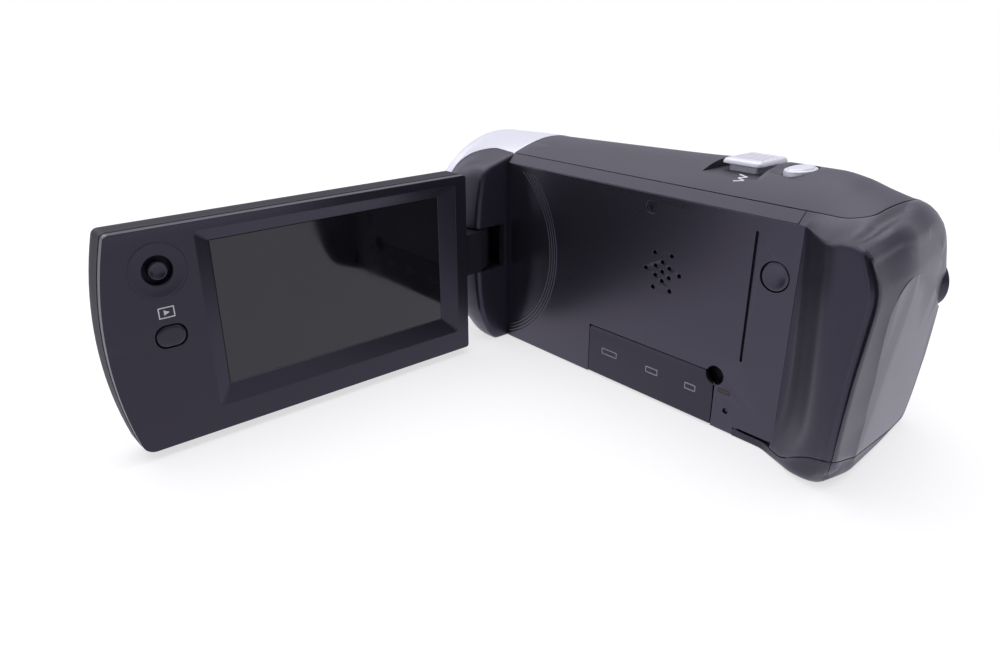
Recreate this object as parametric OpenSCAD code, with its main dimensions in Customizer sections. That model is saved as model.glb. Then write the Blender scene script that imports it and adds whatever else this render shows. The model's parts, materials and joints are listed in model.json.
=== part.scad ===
// Palm-size camcorder with its screen folded out: body, lens, hinge, screen panel,
// top controls, jack door, battery bay and hand belt, each piece a solid of its own.
// Frame: +X to the camcorder's right, +Y towards the lens, +Z up.
// Origin: mouth of the tripod socket in the base.

/* [Body] */
// From the tripod screw's axis to the outer left face
side_left = 27.4; // [26.5:0.1:28.5]
// From the tripod screw's axis to the right side
side_right = 25; // [24:0.5:28]
// Height of the top cover's crest at its back
crest_back = 59.6; // [59:0.1:61]
// Height of the top cover's crest at its front
crest_front = 57.2; // [56.8:0.1:58]
// From the tripod screw's axis to the front rim
front_reach = 63.5; // [62.5:0.1:66]
// From the tripod screw's axis to the back
rear_reach = 64.5; // [64:0.1:67]
// Wall of the outer mouldings
wall = 1.5; // [1.2:0.1:1.7]
// Depth of the screen's bay in the left side
bay_depth = 11.8; // [11.6:0.1:12.4]
// Height of the bay's upper edge
bay_h = 51.7; // [51.5:0.1:52.2]
// How far the strip above the bay leans inwards
strip_lean = 2.5; // [1.8:0.1:3]
// Rise of the strip above the bay
strip_rise = 2.4; // [2:0.1:2.8]
// Where the bay ends at the hinge post, forward of the tripod screw
post_y = 42.5; // [42:0.1:43]
// Where the bay ends at the back bulge, behind the tripod screw
bulge_y = 50.9; // [50.8:0.1:51.6]
// Where the joint across the strip lies, behind the tripod screw
strip_joint_y = 44.5; // [43:0.5:46]
// Height above the table at which the sliding battery cover starts
cover_lift = 0.3; // [0.2:0.05:0.5]
// Thickness of the battery cover
battery_cover_t = 2.1; // [1.8:0.1:2.3]

/* [Screen panel] */
// Height of the screen panel
panel_h = 49; // [48:0.1:49.4]
// Thickness of the screen panel at its middle
panel_t = 11.5; // [11:0.1:11.6]
// Height of the panel's lower edge above the table
panel_z = 2; // [1.9:0.05:2.4]
// How far its free end bows outwards
panel_bow = 3.6; // [3:0.1:4.2]
// Free space between the closed panel and the bay
panel_gap = 0.3; // [0.25:0.05:0.5]
// Width of the visible screen
screen_w = 59.8; // [58:0.1:61]
// Height of the visible screen
screen_h = 33.6; // [32:0.1:34.5]
// From the hinge edge of the panel to the screen
screen_margin = 8.7; // [8.5:0.1:9.2]
// From the lower edge of the panel to the screen
screen_rise = 10.5; // [9.5:0.1:11]
// Wall of the panel's back shell
shell_wall = 1.3; // [1:0.1:1.5]
// Thickness of the front bezel
bezel_t = 2; // [1.8:0.1:2.3]

/* [Hinge] */
// Distance of the upright hinge axis from the outer left face
hinge_inset = 2.2; // [2.1:0.1:2.6]
// Where the screen's face lies when it is open, forward of the tripod screw
screen_y = 40; // [39.8:0.1:40.4]
// Height of the tilting axis
tilt_z = 28.5; // [28:0.1:29]
// Height of the turning block
block_h = 11.6; // [11:0.1:12.2]
// Radius of the hinge pin
pin_r = 1.2; // [1:0.05:1.3]
// Radius of the tilting shaft
shaft_r = 2.4; // [2.1:0.1:2.6]
// Running clearance of pins in their bores
run_gap = 0.04; // [0.02:0.01:0.08]

/* [Lens] */
// Radius of the round front
rim_r = 28.2; // [27.9:0.1:28.4]
// Height of the lens axis
lens_z = 28.7; // [28.5:0.1:29]
// Outer radius of the lens barrel
barrel_r = 13.4; // [12.6:0.1:13.5]
// Radius of the opening in the face plate
aperture_r = 10; // [9:0.1:10.2]
// How far each lens cover blade travels
blade_travel = 10.2; // [9.8:0.1:10.3]
// Travel of the lens cover switch
cover_switch_travel = 4; // [3:0.1:4.5]

/* [Controls] */
// Length of the zoom lever across the body
zoom_w = 16; // [14:0.5:18]
// Width of the zoom lever along the body
zoom_l = 11.6; // [10:0.1:12]
// Travel of the zoom lever to each side
zoom_travel = 2.5; // [2:0.1:3]
// Travel of the photo button
photo_travel = 1; // [0.6:0.1:1.1]
// Travel of the record, power and view buttons
press_travel = 0.5; // [0.3:0.05:0.6]
// Free space around each button
button_gap = 0.25; // [0.15:0.05:0.3]
// Radius of the selector's cap
selector_r = 2.2; // [2:0.05:2.3]
// Radius of the record button
record_r = 4.2; // [3.8:0.1:4.3]
// Radius of the power button
power_r = 3.1; // [2.8:0.1:3.4]

/* [Door and battery] */
// Height of the jack door's top edge
door_h = 13.8; // [13:0.1:14.5]
// Length of the jack door
door_l = 39.4; // [38:0.1:40]
// From the tripod screw to the door's back edge
door_back = 29.9; // [29.5:0.1:30.5]
// Thickness of the jack door
door_t = 1.3; // [1.2:0.05:1.4]
// Thickness of the battery
battery_w = 9.2; // [8.5:0.1:9.6]
// Length of the battery along the body
battery_l = 29.7; // [28:0.1:30.2]
// Height of the battery
battery_h = 42.3; // [40:0.1:43]
// How far the battery cover slides back
cover_slide = 24; // [20:1:30]

/* [Hand belt] */
// Width of the belt's webbing
belt_w = 20; // [18:0.5:24]
// Thickness of the webbing
belt_t = 1.6; // [1.4:0.1:2]
// How far the belt stands off the right side at its middle
belt_stand = 13; // [11.5:0.5:14]
// Thickness of the belt's pad
pad_t = 4; // [3:0.1:4.5]
// Height of the belt's middle
belt_z = 29; // [27:0.5:31]

/* [Tripod socket] */
// Radius of the tripod socket, 1/4 inch thread
tripod_r = 3.175; // [3.1:0.005:3.3]
// Depth of the tripod socket
tripod_depth = 5.5; // [5:0.1:6]

/* [Hidden] */
$fn = 64;
EPS = 0.01;
OVER = 1;              // how far a cutting solid runs past the face that it cuts
FACE = 0.1;            // thickness of the slabs that a hull is drawn between
ROUND = 32;            // facets on a rounded hull

bay_x = -(side_left - bay_depth);                 // floor of the screen's bay
seam_x = bay_x + strip_lean;                      // left seam of the top cover
seam_z = bay_h + strip_rise;
panel_in_x = bay_x + wall;                        // inner face of the bay's floor
split_right_z = 42;                               // where the top cover ends at the right
crown_x = 2;                                      // where the crest runs
shoulder_z = 32;                                  // where the right shoulder starts to turn in
deck_z = crest_front - 0.8;                       // underside of the deck that holds the controls

hinge_x = -side_left + hinge_inset;
hinge_y = screen_y + (bay_x - panel_gap) - hinge_x;
panel_x = hinge_x - (hinge_y - (post_y - panel_gap));   // hinge edge of the panel
panel_end = hinge_y + bulge_y - 0.5;              // from the hinge axis to the free end
panel_l = panel_end - (hinge_x - panel_x);        // length of the panel to its bowed end
drum_r = hinge_y - post_y - panel_gap;            // turning block
block_z0 = tilt_z - block_h / 2;
window_gap = 0.4;
pin_end = 4;                                      // how far the pin runs into the housing
tilt_y = screen_y + panel_t / 2;
back_y = screen_y + panel_t;

lens_x = -0.5;
ring_y = front_reach - 3.5;                       // joint of the front ring and the housing
plate_y = ring_y - 1.4;                           // back of the face plate
blade_y = plate_y - 1.2;                          // back of the lens cover blades
blade_t = 0.6;
blade_w = 22;
blade_h = 10.8;
mic_x = 15;                                       // from the lens axis to each microphone
recess_r = 24.2;                                  // counterbore that holds the face plate
face_t = 2.4;
saddle_w = 12.4;                                  // half the saddle's width
saddle_z = 53.2;                                  // height of the saddle's seat

zoom_x = 1.5;
zoom_y = -23.2;
photo_x = -0.4;
photo_y = -35.5;
lever_top = crest_back + 0.7;
board_top = deck_z - 3.9;                         // upper face of the control board
board_t = 1;
selector_u = 80;                                  // places on the panel, from its hinge edge
selector_v = 40;
view_u = screen_margin + screen_w + 11.1;
view_v = 25.5;
pivot_y = screen_y + 3.7;                         // centre of the selector's gimbal
record_at = [21.4, -57.1, 35];
record_turn = 60;                                 // how far the record button faces right
power_y = -41;
power_z = 39.9;
speaker_y = -12.5;
speaker_z = 33.9;
door_y0 = -door_back;
door_axis = [bay_x + door_t / 2, 0, cover_lift + 0.9];
door_gap = 0.12;
battery_at = [-11, -55.2, cover_lift + battery_cover_t + 1];
case_t = 0.9;
base_t = 2;
base_right = 18;
base_rear = -35.8;
rib_z = 6;
main_board_x = 8;
jack_z = 7.8;                                     // lower edge of the board behind the sockets
jack_y = battery_at[1] + battery_l + 25.5;        // middle of the larger socket
belt_front_y = 36;
belt_rear_y = -44;
anchor_l = 6;

// ---- outlines ----

// Points of a circular arc
function arc_pts(cx, cy, r, a0, a1, n) =
    [for (i = [0:n]) let (a = a0 + (a1 - a0) * i / n) [cx + r * cos(a), cy + r * sin(a)]];

// Height of the crest at a place along the body
function crest_at(y) = crest_front + (crest_back - crest_front) * (post_y - y) / (post_y + 36);

// Crown of the top cover from the left seam to the crest, and down to the right shoulder
function crown_pts(top, inset) = concat(
    [for (t = [0:0.2:1]) let (x = seam_x + (crown_x - seam_x) * t)
        [x + inset * (1 - t), top - (top - seam_z) * pow(1 - t, 2) - inset]],
    [for (a = [75:-15:0])
        [crown_x + (side_right - crown_x - inset) * cos(a),
         shoulder_z + (top - shoulder_z - inset) * sin(a)]],
    [[side_right - inset, 14], [side_right - 1.2 - inset, 5],
     [side_right - 3.2 - inset, 1.2 + inset], [side_right - 5, inset]]);

// Cross-section of the body at the screen's bay
function mid_pts(top, inset) = concat(
    [[bay_x + inset + 0.6, inset], [bay_x + inset, inset + 0.6],
     [bay_x + inset, bay_h - 0.4 * inset]],
    crown_pts(top, inset));

// Cross-section with the full left side, at the hinge post
function post_pts(top, inset) = concat(
    [[8 - side_left + inset, inset], [5 - side_left + inset, 2.6], [1.8 - side_left + inset, 10],
     [0.2 - side_left + inset, 20], [inset - side_left, tilt_z], [0.2 - side_left + inset, 37],
     [1.4 - side_left + inset, 44.5], [3 - side_left + inset, 49 - inset],
     [7.4 - side_left + inset, bay_h - inset]],
    crown_pts(top, inset));

// Cross-section with the full left side, at the back bulge
function bulge_pts(top, inset) = concat(
    [[7.6 - side_left + inset, inset], [6.6 - side_left + inset, 1.5],
     [4 - side_left + inset, 8], [2.2 - side_left + inset, 20],
     [1.5 - side_left + inset, 33], [1.9 - side_left + inset, 44],
     [2.8 - side_left + inset, 49.4 - inset], [4.4 - side_left + inset, bay_h - inset],
     [9.4 - side_left + inset, bay_h + 1.1 - inset]],
    crown_pts(top, inset));

// A section drawn together towards a point of the back
function drawn_in(pts, share) =
    let (c = [-14, 32]) [for (p = pts) c + (p - c) * share];

// Outline of the screen panel: u from the hinge edge, v from the lower edge
function panel_pts(inset) =
    let (bow_r = (pow(panel_h / 2, 2) + pow(panel_bow, 2)) / (2 * panel_bow),
         a = asin((panel_h / 2 - 2.6) / bow_r), cx = panel_l - bow_r)
    concat([[inset, inset + 0.8], [inset + 0.8, inset]],
           arc_pts(cx + bow_r * cos(a) - 3, 3, 3 - inset, -90, -20, 4),
           arc_pts(cx, panel_h / 2, bow_r - inset, -a, a, 12),
           arc_pts(cx + bow_r * cos(a) - 2, panel_h - 2, 2 - inset * 0.6, 40, 90, 3),
           [[inset + 0.8, panel_h - inset], [inset, panel_h - inset - 0.8]]);

// ---- helpers ----

// A thin upright slab across the body, its outline in X and Z
module slab(pts, y) {
    translate([0, y + FACE, 0]) rotate([90, 0, 0]) linear_extrude(FACE) polygon(pts);
}

// A box from its lowest to its highest corner
module block(lo, hi) {
    translate(lo) cube(hi - lo);
}

// A cylinder along Y from y0 to y1
module rod_y(x, z, r, y0, y1) {
    translate([x, y1, z]) rotate([90, 0, 0]) cylinder(h = y1 - y0, r = r);
}

// A cylinder along X from x0 to x1
module rod_x(y, z, r, x0, x1) {
    translate([x0, y, z]) rotate([0, 90, 0]) cylinder(h = x1 - x0, r = r);
}

// A cylinder along Z from z0 to z1
module rod_z(x, y, r, z0, z1) {
    translate([x, y, z0]) cylinder(h = z1 - z0, r = r);
}

// An oval bar along Z, w across and l along the body
module oval_z(x, y, w, l, z0, z1) {
    r = min(w, l) / 2;
    for (s = [-1, 1]) rod_z(x + s * (w / 2 - r), y, r, z0, z1);
    block([x - w / 2 + r, y - r, z0], [x + w / 2 - r, y + r, z1]);
}

// Everything above the top cover's seam plane, or below it
module split_region(above) {
    slope = (split_right_z - seam_z) / (side_right - seam_x);
    left_z = seam_z + slope * (-side_left - OVER - seam_x);
    right_z = seam_z + slope * (side_right + OVER - seam_x);
    far = above ? crest_back + 10 : -OVER;
    translate([0, front_reach, 0]) rotate([90, 0, 0])
        linear_extrude(front_reach + rear_reach + OVER)
            polygon([[-side_left - OVER, left_z], [side_right + OVER, right_z],
                     [side_right + OVER, far], [-side_left - OVER, far]]);
}

// The body's outer form at the bay, or its hollow
module mid_form(inset, y0, y1) {
    hull() {
        slab(mid_pts(crest_at(y1), inset), y1 - FACE);
        slab(mid_pts(crest_back, inset), max(-36, y0));
        slab(mid_pts(crest_back - 0.4, inset), max(-strip_joint_y, y0));
        slab(mid_pts(crest_back - 2.2, inset), max(-51, y0));
        slab(mid_pts(crest_back - 3.8, inset), y0);
    }
}

// The back's outer form, or its hollow
module rear_form(inset) {
    back = rear_reach - inset * 2.2;
    hull() {
        slab(mid_pts(crest_back - 2.2, inset), -bulge_y - FACE - 0.05);
        slab(bulge_pts(crest_back - 2.6, inset), -bulge_y - 3.8);
        slab(bulge_pts(crest_back - 4.2, inset), -back + 6.5);
        slab(drawn_in(bulge_pts(crest_back - 4.2, inset), 0.86), -back + 2.5);
        slab(drawn_in(bulge_pts(crest_back - 4.2, inset), 0.62), -back);
    }
}

// The flat facet across the back's right half
module back_facet() {
    translate([0, -rear_reach + 3.6, 0]) rotate([5, 0, 4.6])
        block([-8, -12, -20], [60, 0, 43]);
}

// The front's outer form, from the hinge post to the round rim
module front_form(inset) {
    hull() {
        translate([0, post_y + 8, 0]) rotate([90, 0, 0])
            linear_extrude(8) polygon(post_pts(crest_front, inset));
        rod_y(lens_x, lens_z, rim_r - inset, ring_y - 2, ring_y);
    }
}

// ---- outer mouldings ----

// Floor of the screen's bay, with its grille, door opening and button hole
module side_panel() {
    color("#2b2b2e") difference() {
        block([bay_x, -bulge_y, cover_lift], [panel_in_x, post_y, bay_h]);
        // jack door and the finger notch at its upper back corner
        block([bay_x - OVER, door_y0 - door_gap, -OVER],
              [panel_in_x + OVER, door_y0 + door_l + door_gap, door_h + door_gap]);
        rod_x(door_y0, door_h - 0.5, 2.3, bay_x - OVER, bay_x + 1);
        // thirteen speaker holes
        for (ring = [[0, 1], [2.3, 6], [4.9, 6]]) for (k = [0:ring[1] - 1])
            let (a = 360 * k / ring[1] + ring[0] * 12)
                rod_x(speaker_y + ring[0] * cos(a), speaker_z + ring[0] * sin(a), 0.5,
                      bay_x - OVER, panel_in_x + OVER, $fn = 16);
        // power button, reset hole and access lamp
        rod_x(power_y, power_z, power_r + button_gap, bay_x - OVER, panel_in_x + OVER);
        rod_x(-33.5, 5.5, 0.7, bay_x - OVER, panel_in_x + OVER, $fn = 20);
        block([bay_x - OVER, -34.2, 9.6], [panel_in_x + OVER, -31, 10.6]);
        // upright groove with a short hook, where the panel's edge closes
        block([bay_x - OVER, -36.1, 18.8], [bay_x + 0.7, -35.5, 48.6]);
        block([bay_x - OVER, -36.1, 48.2], [bay_x + 0.7, -33.4, 48.6]);
        // four shallow rings that follow the tilting screen
        for (k = [0:3]) difference() {
            rod_x(hinge_y + 2.2, tilt_z, 26.5 + 0.85 * k, bay_x - OVER, bay_x + 0.25, $fn = 120);
            rod_x(hinge_y + 2.2, tilt_z, 26.2 + 0.85 * k, bay_x - OVER - EPS, bay_x + 0.25 + EPS,
                  $fn = 120);
        }
        // countersink for the bay's screw
        rod_x(-8.1, 48.6, 1.5, bay_x - OVER, bay_x + 0.8, $fn = 32);
        rod_x(-8.1, 48.6, 0.85, bay_x, panel_in_x + OVER, $fn = 24);
        // space of the battery cover
        block([bay_x - OVER, -bulge_y - OVER, -OVER],
              [panel_in_x + OVER, base_rear, cover_lift + battery_cover_t + 0.3]);
    }
}

// Leaning strip between the bay and the top cover
module strip_bar(y0, y1) {
    drop = 0.8;
    translate([0, y1, 0]) rotate([90, 0, 0]) linear_extrude(y1 - y0)
        polygon([[bay_x, bay_h + EPS], [seam_x, seam_z - 0.05],
                 [seam_x + wall + 0.4, seam_z - drop], [panel_in_x + 1.2, bay_h + EPS]]);
}
module top_strip() {
    color("#333336") strip_bar(-strip_joint_y + 0.05, post_y - 0.05);
}

// Crowned cover with the deck that holds the zoom lever and the photo button
module top_cover() {
    cover_rear = -rear_reach + 8;
    zoom_tub = [zoom_w / 2 + 4.4, zoom_l / 2 + 0.5];
    color("#3a3a3c") difference() {
        intersection() {
            union() {
                difference() {
                    mid_form(0, cover_rear, post_y);
                    mid_form(wall, cover_rear - OVER, post_y + OVER);
                }
                intersection() {
                    mid_form(0, cover_rear, post_y);
                    block([-13, -41.5, deck_z], [16, -15, crest_back + 5]);
                }
                for (x = [-7, 10]) for (y = [-40.4, -17.4])
                    rod_z(x, y, 1, board_top, deck_z + EPS, $fn = 24);
            }
            split_region(true);
        }
        // tub and slot of the zoom lever
        block([zoom_x - zoom_tub[0], zoom_y - zoom_tub[1], deck_z + 1.3],
              [zoom_x + zoom_tub[0], zoom_y + zoom_tub[1], crest_back + 5]);
        block([zoom_x - 2 - zoom_travel - 0.3, zoom_y - 1.8, deck_z - OVER],
              [zoom_x + 2 + zoom_travel + 0.3, zoom_y + 1.8, crest_back + 5]);
        // hole of the photo button, with a finger scoop in front of it
        oval_z(photo_x, photo_y, 11 + 2 * button_gap, 6.6 + 2 * button_gap, deck_z - OVER,
               crest_back + 5);
        translate([photo_x - 3, photo_y + 2.2, crest_back + 5.4]) sphere(r = 7);
    }
}

// Right side, from the base to the top cover's seam
module right_shell() {
    color("#2e2e31") difference() {
        intersection() {
            union() {
                difference() {
                    mid_form(0, -bulge_y, post_y);
                    mid_form(wall, -bulge_y - OVER, post_y + OVER);
                }
                // bosses behind the belt's anchor screws
                for (y = [belt_front_y + anchor_l / 2, belt_rear_y - anchor_l / 2])
                    rod_x(y, belt_z, 3, side_right - 4, side_right - wall / 2);
            }
            split_region(false);
            block([base_right, -bulge_y, -EPS], [side_right + OVER, post_y, crest_back]);
        }
        for (y = [belt_front_y + anchor_l / 2, belt_rear_y - anchor_l / 2])
            rod_x(y, belt_z, 1.1, side_right - 5, side_right + OVER);
        // space of the battery cover
        block([base_right - OVER, -bulge_y - OVER, -OVER],
              [side_right + OVER, base_rear, cover_lift + battery_cover_t + 0.3]);
    }
}

// Base with the tripod socket's seat, the latch's slot and the ribs that carry the boards
module base_plate() {
    color("#2a2a2d") difference() {
        union() {
            block([panel_in_x, base_rear, 0], [base_right, post_y, base_t]);
            block([bay_x + 0.6, base_rear, 0], [panel_in_x, post_y, cover_lift]);
            rod_z(0, 0, 6.5, base_t - EPS, tripod_depth + 2);
            block([main_board_x - 1, base_rear + 1, base_t - EPS],
                  [main_board_x + 2.2, -28, rib_z]);
            block([main_board_x - 1, -2, base_t - EPS], [main_board_x + 2.2, 6, rib_z]);
            block([-5, jack_y - 22.9, base_t - EPS], [-2.5, jack_y - 8, jack_z]);
            block([-7, base_rear, base_t - EPS], [7, -23, 3.2]);
        }
        rod_z(0, 0, 5, -OVER, tripod_depth + 0.6);
        block([-4.2, base_rear - OVER, -OVER], [4.2, -24.5, base_t - 0.2]);
        block([bay_x, door_y0 - 1, -OVER], [panel_in_x + 0.1, door_y0 + door_l + 1, cover_lift + EPS]);
    }
}

// Back moulding with the bulge behind the bay
module rear_body() {
    color("#2f2f32") difference() {
        union() {
            rear_form(0);
            strip_bar(-bulge_y - 1, -strip_joint_y);
        }
        rear_form(wall);
        block([panel_in_x, -bulge_y - OVER, cover_lift],
              [side_right - 3, -bulge_y + OVER, seam_z - 6]);
        // the top cover lies over the front part
        intersection() {
            split_region(true);
            block([-40, -rear_reach + 8, 0], [40, -bulge_y + OVER, 80]);
        }
        back_facet();
        // space of the battery cover
        block([-40, -rear_reach - OVER, -OVER], [40, -bulge_y + OVER,
              cover_lift + battery_cover_t + 0.3]);
        // seat of the record button's collar
        translate(record_at) rotate([90, 0, record_turn])
            translate([0, 0, -8]) cylinder(h = 16, r = record_r + 1.45);
    }
}

// ---- front ----

// Round housing with the hinge post at its left
module front_housing() {
    color("#303033") difference() {
        front_form(0);
        // seat of the silver saddle on top
        block([lens_x - saddle_w, post_y - OVER, saddle_z],
              [lens_x + saddle_w, ring_y + OVER, crest_back + 5]);
        // lens barrel, face plate and the hollow behind them
        rod_y(lens_x, lens_z, barrel_r + 0.05, blade_y - 4, ring_y);
        rod_y(lens_x, lens_z, recess_r, blade_y - 1, ring_y + OVER);
        intersection() {
            rod_y(lens_x, lens_z, recess_r - 3.6, post_y - OVER, blade_y - 3.5);
            block([bay_x + 1.4, post_y - OVER, -OVER], [side_right, blade_y, saddle_z - 4]);
        }
        // window of the turning block
        rod_z(hinge_x, hinge_y, drum_r + window_gap, block_z0 - window_gap,
              block_z0 + block_h + window_gap);
        block([-40, post_y - OVER, block_z0 - window_gap],
              [bay_x - 1.5, hinge_y + 1, block_z0 + block_h + window_gap]);
        // bore of the hinge pin
        rod_z(hinge_x, hinge_y, pin_r + run_gap, block_z0 - pin_end - 0.3,
              block_z0 + block_h + pin_end + 0.3);
        // slot of the lens cover switch
        block([side_right - 12, 49.6, lens_z - 4.2 - cover_switch_travel],
              [side_right + 6, 53.3, lens_z + 3.2]);
    }
}

// Silver rim with the saddle that reaches back to the top cover
module front_ring() {
    color("#d9dadd") union() {
        difference() {
            rod_y(lens_x, lens_z, rim_r, ring_y, front_reach, $fn = 96);
            rod_y(lens_x, lens_z, recess_r + 0.1, ring_y - OVER, front_reach - 1.2, $fn = 96);
            translate([lens_x, front_reach + EPS, lens_z]) rotate([90, 0, 0])
                cylinder(h = 1.3, r1 = rim_r - 1.4, r2 = recess_r + 0.1, $fn = 96);
        }
        difference() {
            intersection() {
                front_form(0);
                block([lens_x - saddle_w + 0.05, post_y + 0.05, saddle_z],
                      [lens_x + saddle_w - 0.05, ring_y + EPS, crest_back + 5]);
            }
            block([lens_x - 9, post_y + 2, saddle_z - OVER],
                  [lens_x + 9, ring_y - 2, saddle_z + 0.8]);
        }
    }
}

// Black face plate with the round lens opening and the blades' rails
module face_plate() {
    color("#17171a") difference() {
        union() {
            rod_y(lens_x, lens_z, recess_r - 0.1, plate_y, plate_y + face_t);
            for (s = [-1, 1])
                block([lens_x + s * (blade_w / 2 + 0.9) - 0.7, plate_y - 1.6, lens_z - 20],
                      [lens_x + s * (blade_w / 2 + 0.9) + 0.7, plate_y + EPS, lens_z + 20]);
        }
        rod_y(lens_x, lens_z, aperture_r, plate_y - OVER, plate_y + face_t + OVER);
        translate([lens_x, plate_y + face_t + EPS, lens_z]) rotate([90, 0, 0])
            cylinder(h = 1.6, r1 = aperture_r + 2.4, r2 = aperture_r);
        // sound slots of the two microphones
        for (s = [-1, 1]) for (k = [-1:1])
            block([lens_x + s * mic_x + k * 1.2 - 0.3, plate_y - OVER, lens_z - 16.3],
                  [lens_x + s * mic_x + k * 1.2 + 0.3, plate_y + face_t + OVER, lens_z - 13.7]);
    }
}

// One lens cover blade, parked above or below the opening
module blade(side) {
    z_mid = lens_z + side * (blade_travel + 0.1 + blade_h / 2);
    color("#1d1d20") union() {
        block([lens_x - blade_w / 2, blade_y, z_mid - blade_h / 2],
              [lens_x + blade_w / 2, blade_y + blade_t, z_mid + blade_h / 2]);
        block([lens_x + blade_w / 2 - 3, blade_y - 0.5, z_mid - 2],
              [lens_x + blade_w / 2, blade_y + EPS, z_mid + 2]);
    }
}
module shutter_upper() { blade(1); }
module shutter_lower() { blade(-1); }

// Slide knob of the lens cover at the front's right side
module cover_switch() {
    color("#3c3c40") union() {
        block([side_right + 0.2, 50, lens_z - 4], [side_right + 1.7, 53, lens_z + 3]);
        block([side_right - 9, 50.8, lens_z - 1.4], [side_right + 0.2 + EPS, 52.2, lens_z + 0.4]);
        for (k = [-1:1])
            block([side_right + 1.7 - EPS, 50.2, lens_z - 0.7 + k * 1.8],
                  [side_right + 2.1, 52.8, lens_z + k * 1.8]);
    }
}

// Barrel that carries the glass, closed at its back around the sensor's window
module lens_barrel() {
    color("#202023") difference() {
        rod_y(lens_x, lens_z, barrel_r, 19, blade_y - 2.4);
        rod_y(lens_x, lens_z, barrel_r - 1.2, 20.5, blade_y);
        block([lens_x - 4, 18, lens_z - 3], [lens_x + 4, 21, lens_z + 3]);
    }
}

// A lens element between two spherical faces, its edge t_edge thick
module element(r, t_edge, bulge) {
    sphere_r = (r * r + bulge * bulge) / (2 * bulge);
    rotate_extrude() polygon(concat([[0, 0]], [[r, 0]],
        [for (i = [0:8]) let (x = r * (1 - i / 8))
            [x, t_edge + sqrt(sphere_r * sphere_r - x * x) - (sphere_r - bulge)]]));
}

module front_lens() {
    color("#30405080") translate([lens_x, blade_y - 5.6, lens_z]) rotate([-90, 0, 0])
        element(barrel_r - 1.4, 1.4, 1.4);
}
module zoom_lens() {
    color("#30405080") translate([lens_x, 40, lens_z]) rotate([-90, 0, 0])
        element(8, 1.2, 1);
}
module focus_lens() {
    color("#30405080") translate([lens_x, 28, lens_z]) rotate([-90, 0, 0])
        element(6, 1, 0.8);
}

// Rings that hold the front glass, the zoom glass and the focus glass in the barrel
module lens_holders() {
    color("#151517") for (g = [[blade_y - 7.2, blade_y - 5.7, barrel_r - 2.8],
                               [38.5, 42, 8.05], [26.5, 30, 6.05]])
        difference() {
            rod_y(lens_x, lens_z, barrel_r - 1.25, g[0], g[1]);
            rod_y(lens_x, lens_z, g[2], g[0] + (g[2] < 9 ? 1.4 : -OVER), g[1] + OVER);
            rod_y(lens_x, lens_z, g[2] - 1, g[0] - OVER, g[1] + OVER);
        }
}

// Board that carries the image sensor, on two posts behind the barrel
module sensor_board() {
    color("#2c5a35") block([lens_x - 11, 16.2, lens_z - 11], [lens_x + 11, 17.4, lens_z + 11]);
    color("#203850") block([lens_x - 3.6, 17.4 - EPS, lens_z - 2.7],
                           [lens_x + 3.6, 19.6, lens_z + 2.7]);
    color("#2c5a35") for (s = [-1, 1])
        rod_y(lens_x + s * 9, lens_z, 1.2, 17.4, 19, $fn = 24);
}

// ---- inside ----

module main_board() {
    color("#27553a") difference() {
        block([main_board_x, base_rear + 1, rib_z], [main_board_x + 1.2, 12, 50]);
        rod_x(-30, 46, 1.1, main_board_x - OVER, main_board_x + 2.2);
        rod_x(6, 46, 1.1, main_board_x - OVER, main_board_x + 2.2);
    }
}

// Processor, memory and power chips on the main board
module board_chips() {
    color("#19191b") for (c = [[-24, 22, 12, 12, 1.4], [-7, 30, 9, 11, 1.1], [-22, 39, 7, 5, 1],
                               [3, 16, 6, 6, 1], [-8, 14, 8, 4, 0.9], [5, 38, 5, 7, 1.2]])
        block([main_board_x + 1.2, c[0], c[1]],
              [main_board_x + 1.2 + c[4], c[0] + c[2], c[1] + c[3]]);
}

// Pressed plate over the chips, standing on the board's edge
module heat_shield() {
    color("#b5b7ba") union() {
        block([main_board_x + 3.4, -29, 13], [main_board_x + 3.9, 11, 48]);
        for (z = [13, 47.5]) block([main_board_x + 1.2, -29, z], [main_board_x + 3.9, 11, z + 0.5]);
    }
}

module jack_board() {
    color("#27553a") block([-4.2, jack_y - 24.2, jack_z], [-3, jack_y + 6, jack_z + 12]);
}

// A socket's metal shell with its tongue, its mouth towards the bay
module socket(y, z, w, h, depth) {
    x1 = -4.2;
    difference() {
        block([x1 - depth, y - w / 2, z - h / 2], [x1, y + w / 2, z + h / 2]);
        block([x1 - depth - OVER, y - w / 2 + 0.4, z - h / 2 + 0.4],
              [x1 - 1.2, y + w / 2 - 0.4, z + h / 2 - 0.4]);
    }
    block([x1 - depth + 1.4, y - w / 2 + 1.2, z - 0.35],
          [x1 - 1.2 + EPS, y + w / 2 - 1.2, z + 0.35]);
}
module hdmi_socket() { color("#c3c5c8") socket(jack_y, jack_z + 2.3, 11.2, 4, 9.2); }
module usb_socket() { color("#c3c5c8") socket(jack_y - 11.8, jack_z + 2.2, 8.4, 3.2, 8.8); }

// Memory card slot
module card_slot() {
    color("#9a9da1") difference() {
        block([-13.6, jack_y - 24, jack_z + 0.6], [-4.2, jack_y - 16.8, jack_z + 3.2]);
        block([-14.6, jack_y - 23.4, jack_z + 1.2], [-5.4, jack_y - 17.4, jack_z + 2.6]);
    }
}

module speaker() {
    color("#8d8f92") union() {
        rod_x(speaker_y, speaker_z, 8, panel_in_x + 0.4, panel_in_x + 2.2);
        rod_x(speaker_y, speaker_z, 4.6, panel_in_x + 2.2 - EPS, panel_in_x + 4);
    }
}
module speaker_mesh() {
    color("#121214") rod_x(speaker_y, speaker_z, 7.4, panel_in_x, panel_in_x + 0.4);
}
module microphones() {
    color("#7d7f83") for (s = [-1, 1])
        rod_y(lens_x + s * mic_x, lens_z - 15, 1.7, plate_y - 1.8, plate_y, $fn = 32);
}

// ---- jack door ----

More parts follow.
